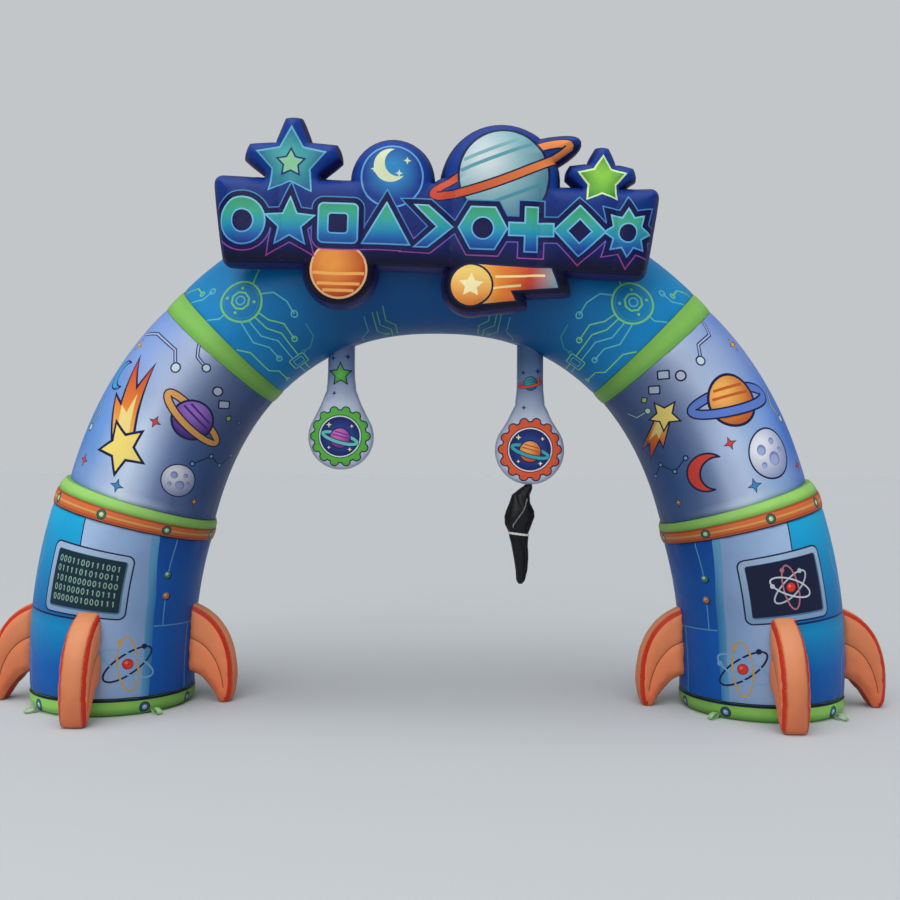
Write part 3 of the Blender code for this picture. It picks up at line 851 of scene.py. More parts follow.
def drum_prints(hand):
    zones = drum_zones()
    prints = moved(zones, x=-DRUM_ROUND / 4) + moved(zones, x=DRUM_ROUND / 4, flip=-1.0)
    if hand < 0:
        glass, picture, place = "#122f3c", digit_rows(0.475, 0.315, 13, 5), SCREEN_PLACE
    else:
        picture = atom(0.150, 0.011, ("#b8c0cc", "#b0707c", "#c8ccd4"), 0.030)
        glass, place = "#121c3c", (0.098, 0.80)
    low_atom = atom(0.196, 0.014, (NAVY, "#c8a862", "#7fb4e0"), 0.034)
    motifs = ((screen(0.315, 0.236, glass), *SCREEN_PLACE), (picture, *place),
              (knob("#3e8f78", "#d4e6da"), -0.492, 0.928), (knob("#c27a4a", "#e6c89a"), -0.511, 0.762),
              (low_atom, -0.275, 0.252))
    for side in (-1, 1):
        for motif, x, y in motifs:
            prints += put(motif, hand, x, y, side, DRUM_ROUND)
    return prints + inked(SEAM_TAPE, box(0, 0.004, DRUM_ROUND / 2, 0.004))


print(len(drum_prints(1)), "shapes on the right drum")


# %% The other bands
COLLAR_ROUND, COLLAR_HIGH = math.tau * 0.588, 0.1006
BASE_ROUND, BASE_HIGH = math.tau * 0.578, 0.125


def bolts_round(bolt, count, shift, y, around, hand):
    """Ring bolts at even steps all round a band."""
    prints = []
    for place in range(count):
        x = (around / 4 + shift + place * around / count) % around - around / 2
        prints += moved(bolt, x, y, flip=float(hand))
    return prints


def collar_prints(hand):
    half = COLLAR_ROUND / 2
    face = faded_ink((0.0, "#c25a2c"), (0.05, "#da7440"), (COLLAR_HIGH, "#d96c3a"))
    bolt = ring_bolt(0.036, "#3f7a52", "#b9d8a0", "#e8f4dc")
    return layers(
        (face, box(0, COLLAR_HIGH / 2, half, COLLAR_HIGH / 2)), (NAVY, box(0, 0.004, half, 0.004)),
        ("#dca45c", box(0, 0.054, half, 0.0065)), ("#a4482a", box(0, 0.094, half, 0.004)),
        ("#a4482a", box(0, 0.020, half, 0.003))) + bolts_round(bolt, 8, 0.072, 0.054, COLLAR_ROUND, hand)


def base_prints(hand):
    bolt = ring_bolt(0.040, "#2f6478", "#a4c0ea", "#dce8f6")
    return (inked(SEAM_TAPE, box(0, BASE_HIGH - 0.009, BASE_ROUND / 2, 0.009))
            + bolts_round(bolt, 9, -0.387, 0.056, BASE_ROUND, hand))


print(len(collar_prints(1)), "shapes on a collar")


# %% [markdown]
# ## Prints for the silver cones
#
# Above the collar each leg narrows to a silver cone, printed with a loose night-sky scene of
# planets, a moon, stars and a shooting star, all in flat colours with a dark outline. The
# motifs here are ordinary ones, laid out freely.

# %% Sky motifs
def outlined(shape, code, line=0.008):
    return inked(code, shape) + inked(NAVY, *stroke(shape, line, True))


def ringed(body, ink, wide, flat, steps, line, edge, cut):
    """A body with a ring that passes behind it above the cut and in front of it below."""
    hoop = ellipse(0, 0, wide, flat, 0, steps)
    front = sorted((p for p in hoop if p.y <= cut), key=lambda p: p.x)
    return layers((NAVY, *stroke(hoop, edge, True)), (ink, *stroke(hoop, line, True)), *body,
                  (NAVY, *stroke(front, edge)), (ink, *stroke(front, line)))


def planet(radius, body, band, ring, tilt=-18.0):
    """A ball with three bands and a ring."""
    fade = round_ink((0.3 * radius, body), (1.35 * radius, band), x=-0.35 * radius, y=0.40 * radius)
    bands = [box(0, radius * y, radius * half * 0.93, radius * 0.055)
             for y, half in ((0.52, 0.74), (0.20, 0.90), (-0.62, 0.66))]
    ball = ((NAVY, disc(0, 0, radius * 1.08, 36)), (fade, disc(0, 0, radius * 0.97, 36)), (band, *bands))
    drawn = ringed(ball, ring, radius * 1.75, radius * 0.42, 40, radius * 0.30, radius * 0.44, 0.02 * radius)
    return moved(drawn, tilt=tilt)


def crescent(radius, code):
    return outlined(moon_shape(radius, radius * 0.52, radius * 0.84), code, radius * 0.10)


def shooting_star(size):
    """A star with a flame-coloured tail that fades away from it."""
    tail = ((0.02, 0.13), (0.55, 0.30), (0.46, 0.16), (0.98, 0.20), (0.66, 0.02), (0.95, -0.08),
            (0.40, -0.10), (0.02, -0.13))
    flame = ((0.02, 0.07), (0.45, 0.14), (0.38, 0.04), (0.60, -0.02), (0.02, -0.07))
    fade = faded_ink((0.0, "#f6d36a"), (0.45, "#ec8438"), (0.95, "#cf3a2a"), axis=0)
    return moved(outlined(tail, fade, 0.03) + inked("#f9e08a", flame)
                 + outlined(star(0, 0, 0.30, 0.145, start=100), "#fbe27a", 0.03), size=size)


def cratered_moon(radius):
    fade = round_ink((0.3 * radius, "#e9ebf2"), (1.4 * radius, "#8c98c4"), x=-0.35 * radius, y=0.4 * radius)
    prints = outlined(disc(0, 0, radius, 36), fade, radius * 0.07)
    for x, y, part in ((-0.35, 0.25, 0.22), (0.30, 0.42, 0.14), (0.15, -0.25, 0.28),
                       (-0.45, -0.35, 0.13), (0.58, -0.02, 0.12)):
        light = disc((x - 0.03) * radius, (y - 0.04) * radius, part * radius * 0.75, 16)
        prints += layers(("#7f8cc0", disc(x * radius, y * radius, part * radius, 18)), ("#a3aedb", light))
    return prints


def constellation(points):
    prints = inked(NAVY, *stroke(points, 0.010))
    for point in points:
        prints += layers((NAVY, disc(*point, 0.024, 12)), ("#6fb7e0", disc(*point, 0.0132, 10)))
    return prints


def trace(points, code, width, dot=0.0):
    """A thin printed wire that may end in a small ring."""
    end = stroke(disc(*points[-1], dot, 14), width, True) if dot else []
    return inked(code, *stroke(points, width), *end)


print(len(cratered_moon(1.0)), "shapes in a moon")


# %% The cones
CONE_ROUND = math.tau * 0.53
GLYPHS = {
    "ring": ((NAVY, disc(0, 0, 0.042, 18)), ("#b9c4dc", disc(0, 0, 0.030, 16))),
    "chip": ((NAVY, rounded(0, 0, 0.046, 0.036, 0.010)), ("#b4c0da", rounded(0, 0, 0.035, 0.025, 0.006))),
    "lime": ((NAVY, polygon(0, 0, 0.034, 4, 0.0)), ("#a8cc58", polygon(0, 0, 0.022, 4, 0.0))),
}


def glyphs(*places):
    """Small outlined squares and rings, each as (x, y, tilt, kind)."""
    return [piece for x, y, tilt, kind in places for piece in moved(layers(*GLYPHS[kind]), x, y, tilt)]


YELLOW, CORAL, AZURE = "#f2b23c", "#e2483a", "#3f8fd0"
SLATE, PINE = "#26336f", "#2f6a58"
SKIES = {  # for each leg: motifs with x, y, tilt; wires with ink and end dot; stars with x, y, size, ink
    -1: ((
        (shooting_star(0.62), 0.12, 0.34, 104.0),
        (planet(0.145, "#a676d8", "#4c2f86", "#e8a85c"), -0.24, 0.74, 0.0),
        (cratered_moon(0.125), -0.33, 0.27, 0.0), (crescent(0.100, "#3fa0d8"), 0.46, 0.74, 20.0),
        (constellation([(-0.12, -0.06), (0.0, 0.05), (0.12, 0.0), (0.21, 0.11)]), -0.50, 0.49, 0.0),
        (glyphs((0.0, 0.0, 20, "ring"), (0.10, -0.06, 30, "chip"), (0.20, -0.14, 0, "lime")),
         -0.27, 1.03, 0.0),
    ), (
        ([(0.56, 1.02), (0.40, 1.08), (0.16, 1.08), (0.07, 0.99)], SLATE, 0.028),
        ([(0.06, 1.215), (0.00, 1.14), (-0.10, 1.12)], SLATE, 0.024),
        ([(0.54, 0.56), (0.48, 0.48), (0.52, 0.36)], PINE, 0.020),
    ), (
        (0.52, 0.95, 0.046, YELLOW), (-0.02, 0.60, 0.042, CORAL), (0.06, 0.09, 0.046, AZURE),
        (-0.50, 0.14, 0.036, YELLOW), (0.42, 0.16, 0.042, CORAL), (-0.58, 0.90, 0.034, AZURE),
    )),
    1: ((
        (planet(0.170, "#f8b45c", "#c4602a", "#5f7fd0", -14.0), 0.16, 0.70, 0.0),
        (crescent(0.140, "#e2483a"), -0.22, 0.32, -25.0), (shooting_star(0.42), -0.31, 0.85, -150.0),
        (cratered_moon(0.165), 0.25, 0.28, 0.0),
        (constellation([(-0.15, 0.0), (-0.04, 0.08), (0.06, -0.01), (0.18, 0.06)]), -0.50, 0.42, 0.0),
        (glyphs((0.0, 0.0, -35, "chip"), (0.12, 0.05, -35, "chip"), (-0.11, -0.02, 0, "lime"),
                (0.21, -0.03, 0, "ring")), -0.26, 1.06, 0.0),
    ), (
        ([(0.40, 1.215), (0.34, 1.12), (0.20, 1.12), (0.13, 1.03)], SLATE, 0.026),
        ([(-0.58, 1.02), (-0.52, 0.95), (-0.40, 0.95)], PINE, 0.020),
        ([(0.54, 0.62), (0.48, 0.54), (0.54, 0.44)], PINE, 0.020),
    ), (
        (0.50, 0.98, 0.048, YELLOW), (0.00, 0.45, 0.044, CORAL), (0.06, 0.12, 0.048, AZURE),
        (-0.50, 0.16, 0.036, YELLOW), (0.52, 0.13, 0.038, CORAL), (-0.58, 0.72, 0.034, AZURE),
    )),
}


def cone_prints(hand):
    motifs, routes, stars = SKIES[hand]
    prints = []
    for side in (-1, 1):
        for motif, x, y, tilt in motifs:
            prints += put(moved(moved(motif, tilt=tilt), flip=float(-side)), hand, x, y, side, CONE_ROUND)
        for x, y, size, code in stars:
            shape = star(0, 0, size, size * 0.36, 4)
            prints += put(outlined(shape, code, 0.006), hand, x, y, side, CONE_ROUND)
        for route, code, dot in routes:
            (x, y), way = route[-1], -side * hand  # a route's places are metres outwards, as the motifs' are
            line = [((there - x) * way, high - y) for there, high in route]
            drawn = trace(line, code, 0.027) + trace(line, "#b6c4e0", 0.010)
            drawn += layers((code, disc(0, 0, dot + 0.011, 16)), ("#cfe0e4", disc(0, 0, dot, 16)))
            prints += put(drawn, hand, x, y, side, CONE_ROUND)
    return prints


print(len(cone_prints(1)), "shapes on the right cone")


# %% [markdown]
# ## Prints for the curved top
#
# The top is deep blue, lighter at its shoulders, with thin green wires like those on a circuit
# board. Its darker middle under the sign is partly print and partly the sign's painted shadow,
# and its underside has painted shade. Two ring outlines sit by the green bands, and their wires
# run down towards the walkway.

# %% The crown
CROWN_START = length_at(2.665)
CROWN_LONG = float(LENGTHS[-1]) - 2 * CROWN_START
CROWN_ROUND = math.tau * CROWN_RADIUS
WIRE, LIME, AQUA, MOSS, TEAL = 0.0095, "#7ccb72", "#62bcc4", "#4f9a5c", "#3f8f96"
WIRES = (  # route from the middle of the top, in metres, its colour, and its end ring
    ([(1.36, -0.055), (1.33, -0.14), (1.25, -0.22), (1.25, -0.36)], LIME, 0.022),
    ([(1.40, -0.065), (1.38, -0.18), (1.31, -0.27), (1.31, -0.50)], LIME, 0.0),
    ([(1.45, -0.060), (1.45, -0.20), (1.37, -0.30), (1.37, -0.50)], AQUA, 0.0),
    ([(1.50, -0.035), (1.53, -0.20), (1.46, -0.30), (1.46, -0.42)], AQUA, 0.022),
    ([(1.27, 0.04), (1.19, 0.00), (1.14, -0.10), (1.14, -0.20)], AQUA, 0.024),
    ([(1.28, 0.13), (1.20, 0.20), (1.20, 0.27)], LIME, 0.016),
    ([(1.67, 0.52), (1.58, 0.43), (1.58, 0.34)], LIME, 0.016),
    ([(1.67, 0.36), (1.60, 0.29), (1.52, 0.29)], AQUA, 0.020),
    ([(1.67, 0.14), (1.60, 0.08), (1.55, 0.08)], AQUA, 0.0),
    ([(1.66, -0.16), (1.60, -0.24), (1.60, -0.44), (1.54, -0.51), (1.54, -0.66)], LIME, 0.018),
    ([(1.10, -0.30), (1.10, -0.42), (1.18, -0.50), (1.25, -0.50)], TEAL, 0.016),
    ([(1.31, -0.62), (1.31, -0.76)], LIME, 0.0), ([(1.37, -0.62), (1.37, -0.76)], AQUA, 0.0),
    ([(0.44, -0.36), (0.44, -0.50), (0.36, -0.57), (0.36, -0.72)], MOSS, 0.0),
    ([(0.54, -0.40), (0.54, -0.62), (0.46, -0.70)], MOSS, 0.020),
    ([(0.62, -0.42), (0.62, -0.58), (0.70, -0.66), (0.70, -0.74)], TEAL, 0.0),
    ([(0.50, -0.40), (0.50, -0.54), (0.41, -0.62), (0.41, -0.76)], MOSS, 0.0),
)
OUTLINES = (  # ink, width and outline of the rings, the nut inside them, its dots, and the square plug
    (LIME, 0.014, disc(1.41, 0.075, 0.142, 40)), (TEAL, 0.006, disc(1.41, 0.075, 0.120, 36)),
    (LIME, 0.013, polygon(1.41, 0.085, 0.062, 8, 22.5)), (AQUA, 0.010, disc(1.41, 0.085, 0.030, 16)),
    *((LIME, 0, disc(x, y, 0.011, 10)) for x, y in ((1.34, 0.02), (1.47, 0.16), (1.49, 0.04), (1.35, 0.15))),
    (LIME, WIRE, rounded(1.34, -0.56, 0.075, 0.060, 0.012)),
    (AQUA, 0.007, rounded(1.34, -0.56, 0.045, 0.032, 0.008)),
)


def crown_ground(point):
    """Azure at the shoulders; darker under the sign, partly print and partly the sign's painted shadow;
    painted shade on the underside towards the walkway.
    """
    up_face = CROWN_ROUND / 4 - abs(point[0])
    shoulder = clamp((abs(point[1] - CROWN_LONG / 2) - 0.45) / 1.1) ** 1.2
    # painted shade: darker on the underside and towards the walkway
    low = clamp((0.15 - up_face) / 0.75)
    # the darker middle under the sign is partly print and partly the sign's painted shadow
    colour = mixed(linear("#005094"), linear("#0b88c6"), shoulder)
    return mixed(colour, linear("#004276"), 0.75 * low * (1 - 0.35 * shoulder))


def crown_prints():
    """Drawn as seen from the front, x to the right and y up the face, then turned along the tube."""
    half = layers(*((code, *(stroke(shape, width, True) if width else [shape]))
                    for code, width, shape in OUTLINES))
    for wire in WIRES:
        half += trace(*wire[:2], WIRE, wire[2])
    drawn = moved(half, flip=-1.0) + moved(half, flip=1.0)
    quarter, middle = CROWN_ROUND / 4, CROWN_LONG / 2
    return moved(drawn, x=-quarter, y=middle, tilt=-90.0) + moved(drawn, x=quarter, y=middle, tilt=90.0)


print(len(crown_prints()), "shapes on the crown")


# %% [markdown]
# ## Sewing the tube
#
# The sections are the base band, the drum, the orange collar and its green trim, the silver
# cone, the green band under the top, and the top itself. The left leg is the right one mirrored.

# %% Shapes of the sections
SECTIONS = (  # name, low and high, radii, swell, drifts at the low end, middle and high end, cloth
    ("drum", 0.125, 1.335, 0.584, 0.580, 0.004, 0.000, 0.018, 0.004, "blue"),
    ("collar", 1.335, 1.432, 0.586, 0.586, 0.005, 0.004, 0.002, 0.000, "orange"),
    ("collar_trim", 1.432, 1.503, 0.582, 0.560, 0.006, 0.000, -0.004, -0.008, "green"),
    ("cone", 1.503, 2.560, 0.541, 0.510, 0.006, -0.020, 0.000, -0.010, "silver"),
    ("crown_trim", 2.560, 2.665, 0.511, 0.511, 0.004, -0.012, -0.012, -0.012, "green"),
)
BASE_RADIUS, BASE_TAPER = 0.588, 0.002
TURN_IN, TURN_HIGH = 0.040, 0.08  # how far in and how high the base band turns under
ROUNDS = {"drum": DRUM_ROUND, "collar": COLLAR_ROUND, "cone": CONE_ROUND}  # metres round the printed sheets


def section_profile(r_low, r_high, swell, drift_low, drift_mid, drift_high):
    def profile(share):
        radius = r_low + (r_high - r_low) * share + swell * np.sin(np.pi * share)
        bend = drift_mid - (drift_low + drift_high) / 2
        return radius, drift_low * (1 - share) + drift_high * share + bend * 4 * share * (1 - share)
    return profile


def base_profile(share):
    """The base band turns under at the floor."""
    high = share * BASE_HIGH
    turned = BASE_RADIUS - TURN_IN * (1 - np.minimum(high / TURN_HIGH, 1)) ** 2.6
    taper = BASE_TAPER * (high - TURN_HIGH) / (BASE_HIGH - TURN_HIGH)
    return np.where(high < TURN_HIGH, turned, BASE_RADIUS - taper), 0 * share


def crown_profile(share):
    return CROWN_RADIUS + 0 * share, CROWN_DRIFT + 0 * share


print(len(SECTIONS) + 1, "sections in a leg")

# %% Dyes, painted shade and painted light of the sections
CONE_DYES_AND_SHADE = {  # each leg's dye high up and by the collar, with painted shade towards the walkway and painted light low down; by metres out from the front's middle
    -1: (ramp((-0.83, "#385290"), (-0.52, "#3c568e"), (-0.33, "#465e90"), (-0.20, "#6277a2"),
              (-0.10, "#8b9dc4"), (0.02, "#b3c3e0"), (0.12, "#a4b7dc"), (0.33, "#789fe2"),
              (0.60, "#578cdc"), (0.83, "#5088d8")),
         ramp((-0.83, "#385290"), (-0.52, "#3e5e98"), (-0.33, "#4d6ba2"), (-0.20, "#758cba"),
              (-0.10, "#a8bde0"), (0.02, "#d0e2f6"), (0.12, "#b5caee"), (0.33, "#709edc"),
              (0.60, "#5086d6"), (0.83, "#4c84d4"))),
    1: (ramp((-0.83, "#385290"), (-0.52, "#3c568e"), (-0.33, "#465e90"), (-0.20, "#6277a2"),
             (-0.10, "#8b9dc4"), (0.02, "#b3c3e0"), (0.12, "#a8bfe2"), (0.30, "#8caade"),
             (0.50, "#5584d8"), (0.83, "#4878d2")),
        ramp((-0.83, "#385290"), (-0.52, "#3c5f9b"), (-0.33, "#4d6ea2"), (-0.20, "#788fba"),
             (-0.10, "#aec1e4"), (0.02, "#bccfec"), (0.12, "#9ebce0"), (0.30, "#7ea4de"),
             (0.50, "#487cd4"), (0.83, "#4274ce"))),
}


def cone_ground(hand):
    """Silver in front and light blue outside. Slate towards the walkway, partly print and partly painted
    shade; a lighter dye low down as painted light against the shade there; painted highlights as a paler band
    at each end and a streak above the collar.
    """
    high_dye_and_shade, low_dye_light_and_shade = CONE_DYES_AND_SHADE[hand]

    def ground(point):
        outwards, high = CONE_ROUND / 4 - abs(point[0]), point[1]
        # painted light: the lower cone takes the lighter dye, against the shade that falls there
        colour = mixed(high_dye_and_shade(outwards), low_dye_light_and_shade(outwards), clamp((0.85 - high) / 0.43))
        # painted highlight: a paler band near each end of the cone, weaker towards the walkway
        pale = (0.26 * hump(high, 1.0, 0.30) + 0.18 * hump(high, 0.10, 0.10)) * clamp(0.75 + outwards, 0.15)
        colour = mixed(colour, linear("#bcc3dc"), pale)
        # painted highlight: a pale streak just above the seam to the collar's trim
        return mixed(colour, linear("#e6eef8"), 0.34 * hump(high, 0.040, 0.022) * hump(outwards, -0.06, 0.24))
    return ground


GROUNDS = {
    "drum": faded_ink((0.0, "#005cbc"), (0.50, "#0068ce"), (0.54, "#0060c0"), (0.90, "#0060c0"),
                      (1.22, "#0052ae")),
    "collar": flat_ink("#d9733c"),
    "collar_trim": faded_ink((0.0, "#6cae4a"), (0.030, "#9cd46c"), (0.074, "#98cf68")),
    "crown_trim": faded_ink((0.0, "#70b44c"), (0.07, "#8cca60"), (0.145, "#7ab850")),
    "base_band": faded_ink((0.0, "#68b04c"), (0.06, "#96d464"), (0.125, "#84c458")),
}
print(len(GROUNDS), "plain grounds")

# %% Sewn sections
def sew_section(name, side, hand, low, high, around, profile, prints, cloth):
    start, length = length_at(low), length_at(high) - length_at(low)
    ground = cone_ground(hand) if name == "cone" else GROUNDS[name]
    mesh = rolled_mesh(f"{name}_{side}", start, length, around, profile, prints, ground, hand < 0)
    add_piece(f"{name}_cloth_{side}", mesh, CLOTHS[cloth], f"{name}_{side}")
    print(name, side, len(prints), "inks,", len(mesh.polygons), "faces,", round(length, 3), "m")


PRINTS = {"drum": drum_prints, "collar": collar_prints, "cone": cone_prints}
for hand, side in ((1, "right"), (-1, "left")):
    sew_section("base_band", side, hand, 0.0, BASE_HIGH, BASE_ROUND, base_profile, base_prints(hand), "base")
    for name, low, high, r_low, r_high, *shape, cloth in SECTIONS:
        prints = PRINTS[name](hand) if name in PRINTS else []
        sew_section(name, side, hand, low, high, ROUNDS.get(name, math.pi * (r_low + r_high)),
                    section_profile(r_low, r_high, *shape), prints, cloth)
# the crown's painted shade is drawn in crown_ground instead
mesh = rolled_mesh("crown", CROWN_START, CROWN_LONG, CROWN_ROUND, crown_profile, crown_prints(), crown_ground,
                   False, walkway_shade=False)
add_piece("crown_cloth", mesh, CLOTHS["crown"], "crown")
print("crown", len(mesh.polygons), "faces")

# %% [markdown]
# ## Flat-cut pieces that are blown up
#
# The sign, the fins and the drops are each cut flat, twice, and joined by a strip of cloth, the
# gusset, round their edge. Air domes both faces and makes the gusset bulge, and the seams pull
# in. The flat outline is cut with its print as before, and rows of points follow the edge, where
# the curve is tightest. A dome over the distance from the edge then lifts the faces.
#
# Real air gives the last of the shape. An even copy of the piece, remeshed with voxels, becomes
# cloth under pressure. Its seams shrink a little, as gathered seams do, so that the cloth beside
# them puckers. The printed mesh is too uneven to be simulated itself, so each of its points is
# tied to the copy's nearest triangle and moves along with it.

# %% Air
SIM_FRAMES = 20
ON_SEAM = 0.003  # metres from a seam within which a point counts as on it


def even_copy(mesh, voxel):
    rough = add_object("rough", mesh.copy())
    remesh = rough.modifiers.new("even", "REMESH")
    remesh.mode, remesh.voxel_size = "VOXEL", voxel
    even = bpy.data.meshes.new_from_object(rough.evaluated_get(bpy.context.evaluated_depsgraph_get()))
    bpy.data.objects.remove(rough)
    return even


def seam_weights(even, mesh, reach):
    """How near each point of the even copy is to a seam of the printed mesh: 1 on it, 0 past the reach."""
    marks = mesh.attributes["seam"].data
    on_seam = [vert.co for vert, mark in zip(mesh.vertices, marks) if mark.value < ON_SEAM]
    tree = KDTree(len(on_seam))
    for index, place in enumerate(on_seam):
        tree.insert(place, index)
    tree.balance()
    return [max(0.0, 1 - tree.find(vert.co)[2] / reach) for vert in even.vertices]


def blown_by_air(mesh, voxel, pressure, gather, most):
    """Moves a closed printed mesh as cloth under pressure would, each point by at most a cap."""
    even = even_copy(mesh, voxel)
    bag = add_object("bag", even)
    group = bag.vertex_groups.new(name="gathered")
    for index, weight in enumerate(seam_weights(even, mesh, 2.5 * voxel)):
        group.add([index], weight, "REPLACE")
    air = bag.modifiers.new("air", "CLOTH")
    air.point_cache.frame_start, air.point_cache.frame_end = 1, SIM_FRAMES
    cloth = air.settings
    cloth.quality, cloth.mass = 6, 0.2
    cloth.bending_stiffness = 0.2
    cloth.use_pressure, cloth.uniform_pressure_force = True, pressure
    cloth.vertex_group_shrink, cloth.shrink_max = "gathered", gather
    cloth.effector_weights.gravity = 0
    for frame in range(1, SIM_FRAMES + 1):
        scene.frame_set(frame)
    blown = bag.evaluated_get(bpy.context.evaluated_depsgraph_get()).to_mesh()
    after = [vert.co.copy() for vert in blown.vertices]
    even.calc_loop_triangles()
    corners = [tuple(triangle.vertices) for triangle in even.loop_triangles]
    before = [vert.co.copy() for vert in even.vertices]
    nearest = BVHTree.FromPolygons(before, corners)
    widest = 0.0
    for vert in mesh.vertices:
        tied = corners[nearest.find_nearest(vert.co)[2]]
        ends = [*(before[k] for k in tied), *(after[k] for k in tied)]
        move = barycentric_transform(vert.co, *ends) - vert.co
        widest = max(widest, move.length)
        vert.co += move * min(1.0, most / max(move.length, 1e-9))
    bpy.data.objects.remove(bag)
    scene.frame_set(1)
    return widest


print("air blows for", SIM_FRAMES, "frames")


# %% Edges and seams of a flat piece
EDGE_ROWS = (0.004, 0.011, 0.021, 0.034, 0.050, 0.070)  # depths of the rows that follow an edge


def rim_of(flat, triangles):
    """The boundary as loops of point numbers, with the inside on the left, and as stretches."""
    used = {pair for corners in triangles for pair in pairs_round(corners)}
    following = {a: b for a, b in used if (b, a) not in used}
    loops = []
    while following:
        here, loop = next(iter(following)), []
        while here in following:
            loop.append(here)
            here = following.pop(here)
        loops.append(loop)
    return loops, [(flat[a], flat[b]) for loop in loops for a, b in pairs_round(loop)]


def stretches(line):
    return [(Vector(a), Vector(b)) for a, b in zip(line, line[1:])]


def nearest_on(points, lines):
    """How far each point lies from the nearest of some stretches, and how far along them all."""
    nearest, along, passed = np.full(len(points), np.inf), np.zeros(len(points)), 0.0
    for a, b in lines:
        a, way = np.array(a), np.array(b) - np.array(a)
        long = math.hypot(*way)
        share = np.clip((points - a) @ way / max(long * long, 1e-12), 0, 1)
        away = np.linalg.norm(points - a - share[:, None] * way, axis=1)
        closer = away < nearest
        nearest[closer], along[closer] = away[closer], passed + share[closer] * long
        passed += long
    return nearest, along


def inwards(loop, flat):
    """Each point of a rim loop, with the direction straight into the cloth."""
    neighbours = zip(loop[-1:] + loop[:-1], loop[1:] + loop[:1])
    return [(k, (flat[b] - flat[a]).normalized().orthogonal()) for k, (a, b) in zip(loop, neighbours)]


def dome(share, power=0.7):
    return np.sin(math.pi / 2 * np.minimum(share, 1.0)) ** power


def sheet_points(outlines, seams, step):
    """Points to cut a blown-up face by: rows along its edge, a grid inside them, and its seams."""
    flat, triangles, _ = cut_sheet(outlines, [], [])
    loops, rims = rim_of(flat, triangles)
    extra = [(flat[k] + inward * depth, depth * 0.85) for loop in loops for k, inward in inwards(loop, flat)
             for depth in EDGE_ROWS]
    low, high = ([pick(p[k] for p in flat) for k in (0, 1)] for pick in (min, max))
    columns, rows = (range(1, math.ceil((high[k] - low[k]) / step)) for k in (0, 1))
    extra += [(Vector((low[0] + column * step, low[1] + row * step)), EDGE_ROWS[-1] + 0.4 * step)
              for column in columns for row in rows]
    extra += [(a.lerp(b, k / 6), 0.0) for seam in seams for a, b in stretches(seam) for k in range(6)]
    far, _ = nearest_on(np.array([tuple(p) for p, _ in extra]), rims)
    return [p for (p, least), away in zip(extra, far) if away > least]


print(len(EDGE_ROWS), "rows of points follow each edge")

# %% Blown-up pieces
GUSSET_CUTS = 5
PULL, PULL_REACH = 0.006, 0.008  # how far a seam pulls the cloth in
FOLD, FOLD_LONG, FOLD_REACH = 0.0045, 0.045, 0.05  # the gathered folds beside it


def blown_mesh(name, outlines, prints, backs, ground, strip, sizes, air, seams=(), pull_in=0.7):
    """Blows up the union of some outlines. Prints go on the front, backs on the back, strip on the gusset.

    Sizes are the gusset, the puff, the depth over which a face rounds, the step between points,
    and how far the gusset bulges. Air is the voxel, the pressure, the gathering and the cap.
    """
    gusset, puff, rounding, step, bulge = sizes
    outlines = [with_steps(outline, step) for outline in outlines]
    flat, triangles, covers = cut_sheet(outlines, prints + backs, sheet_points(outlines, seams, step))
    loops, rims = rim_of(flat, triangles)
    spots = np.array([tuple(p) for p in flat])
    depth, along = nearest_on(spots, rims)
    rise = puff * dome(depth / rounding)
    folds = np.array([noise.noise(Vector((a / FOLD_LONG, d * 3, 0))) for a, d in zip(along, depth)])
    seam_far = depth.copy()
    for seam in seams:
        away, _ = nearest_on(spots, stretches(seam))
        rise = np.minimum(rise, puff * (1 - pull_in + pull_in * dome(away / (0.8 * rounding))))
        seam_far = np.minimum(seam_far, away)
    half = gusset / 2 + rise - PULL * np.exp(-depth / PULL_REACH)
    half += FOLD * folds * np.exp(-seam_far / FOLD_REACH)

    bm = bmesh.new()
    bm_layers = cloth_layers(bm)
    sides = {}
    for side in (-1, 1):
        sides[side] = {k: bm.verts.new((spots[k][0], side * half[k], spots[k][1]))
                       for k in sorted({corner for corners in triangles for corner in corners})}
        for k, vert in sides[side].items():
            vert[bm_layers[0]] = seam_far[k]
    for corners, cover in zip(triangles, covers):
        for side, order in ((-1, corners), (1, corners[::-1])):
            found = [number for number in cover if (number < len(prints)) == (side < 0)]
            ink = (prints + backs)[max(found)][1] if found else ground
            places = [flat[k] for k in order]
            dye(bm.faces.new([sides[side][k] for k in order]), bm_layers, ink, places, places)
    outward = {}
    for loop in loops:
        for k, inward in inwards(loop, flat):
            outward[(round(spots[k][0], 5), round(spots[k][1], 5))] = -inward
        for a, b in pairs_round(loop):
            face = bm.faces.new((sides[-1][b], sides[-1][a], sides[1][a], sides[1][b]))
            places = [flat[k] for k in (b, a, a, b)]
            threads = [(p.x + p.y, vert.co.y) for p, vert in zip(places, face.verts)]
            dye(face, bm_layers, strip, places, threads)
    across = [edge for edge in bm.edges if edge.verts[0].co.y * edge.verts[1].co.y < 0]
    made = bmesh.ops.subdivide_edges(bm, edges=across, cuts=GUSSET_CUTS, use_grid_fill=True)
    for vert in {item for item in made["geom_inner"] if isinstance(item, bmesh.types.BMVert)}:
        vert[bm_layers[0]] = max(gusset / 2 - abs(vert.co.y), 0.0)
        away = outward.get((round(vert.co.x, 5), round(vert.co.z, 5)))
        if away is not None:
            lift = bulge * (1 - min(abs(2 * vert.co.y / gusset), 1.0) ** 2)
            vert.co += Vector((away.x, 0, away.y)) * lift
    mesh = finish_cloth(bm, name)
    print(name, "was moved by the air by up to", round(1000 * blown_by_air(mesh, *air)), "mm")
    return mesh


print("a gusset bulges in", GUSSET_CUTS + 1, "strips")

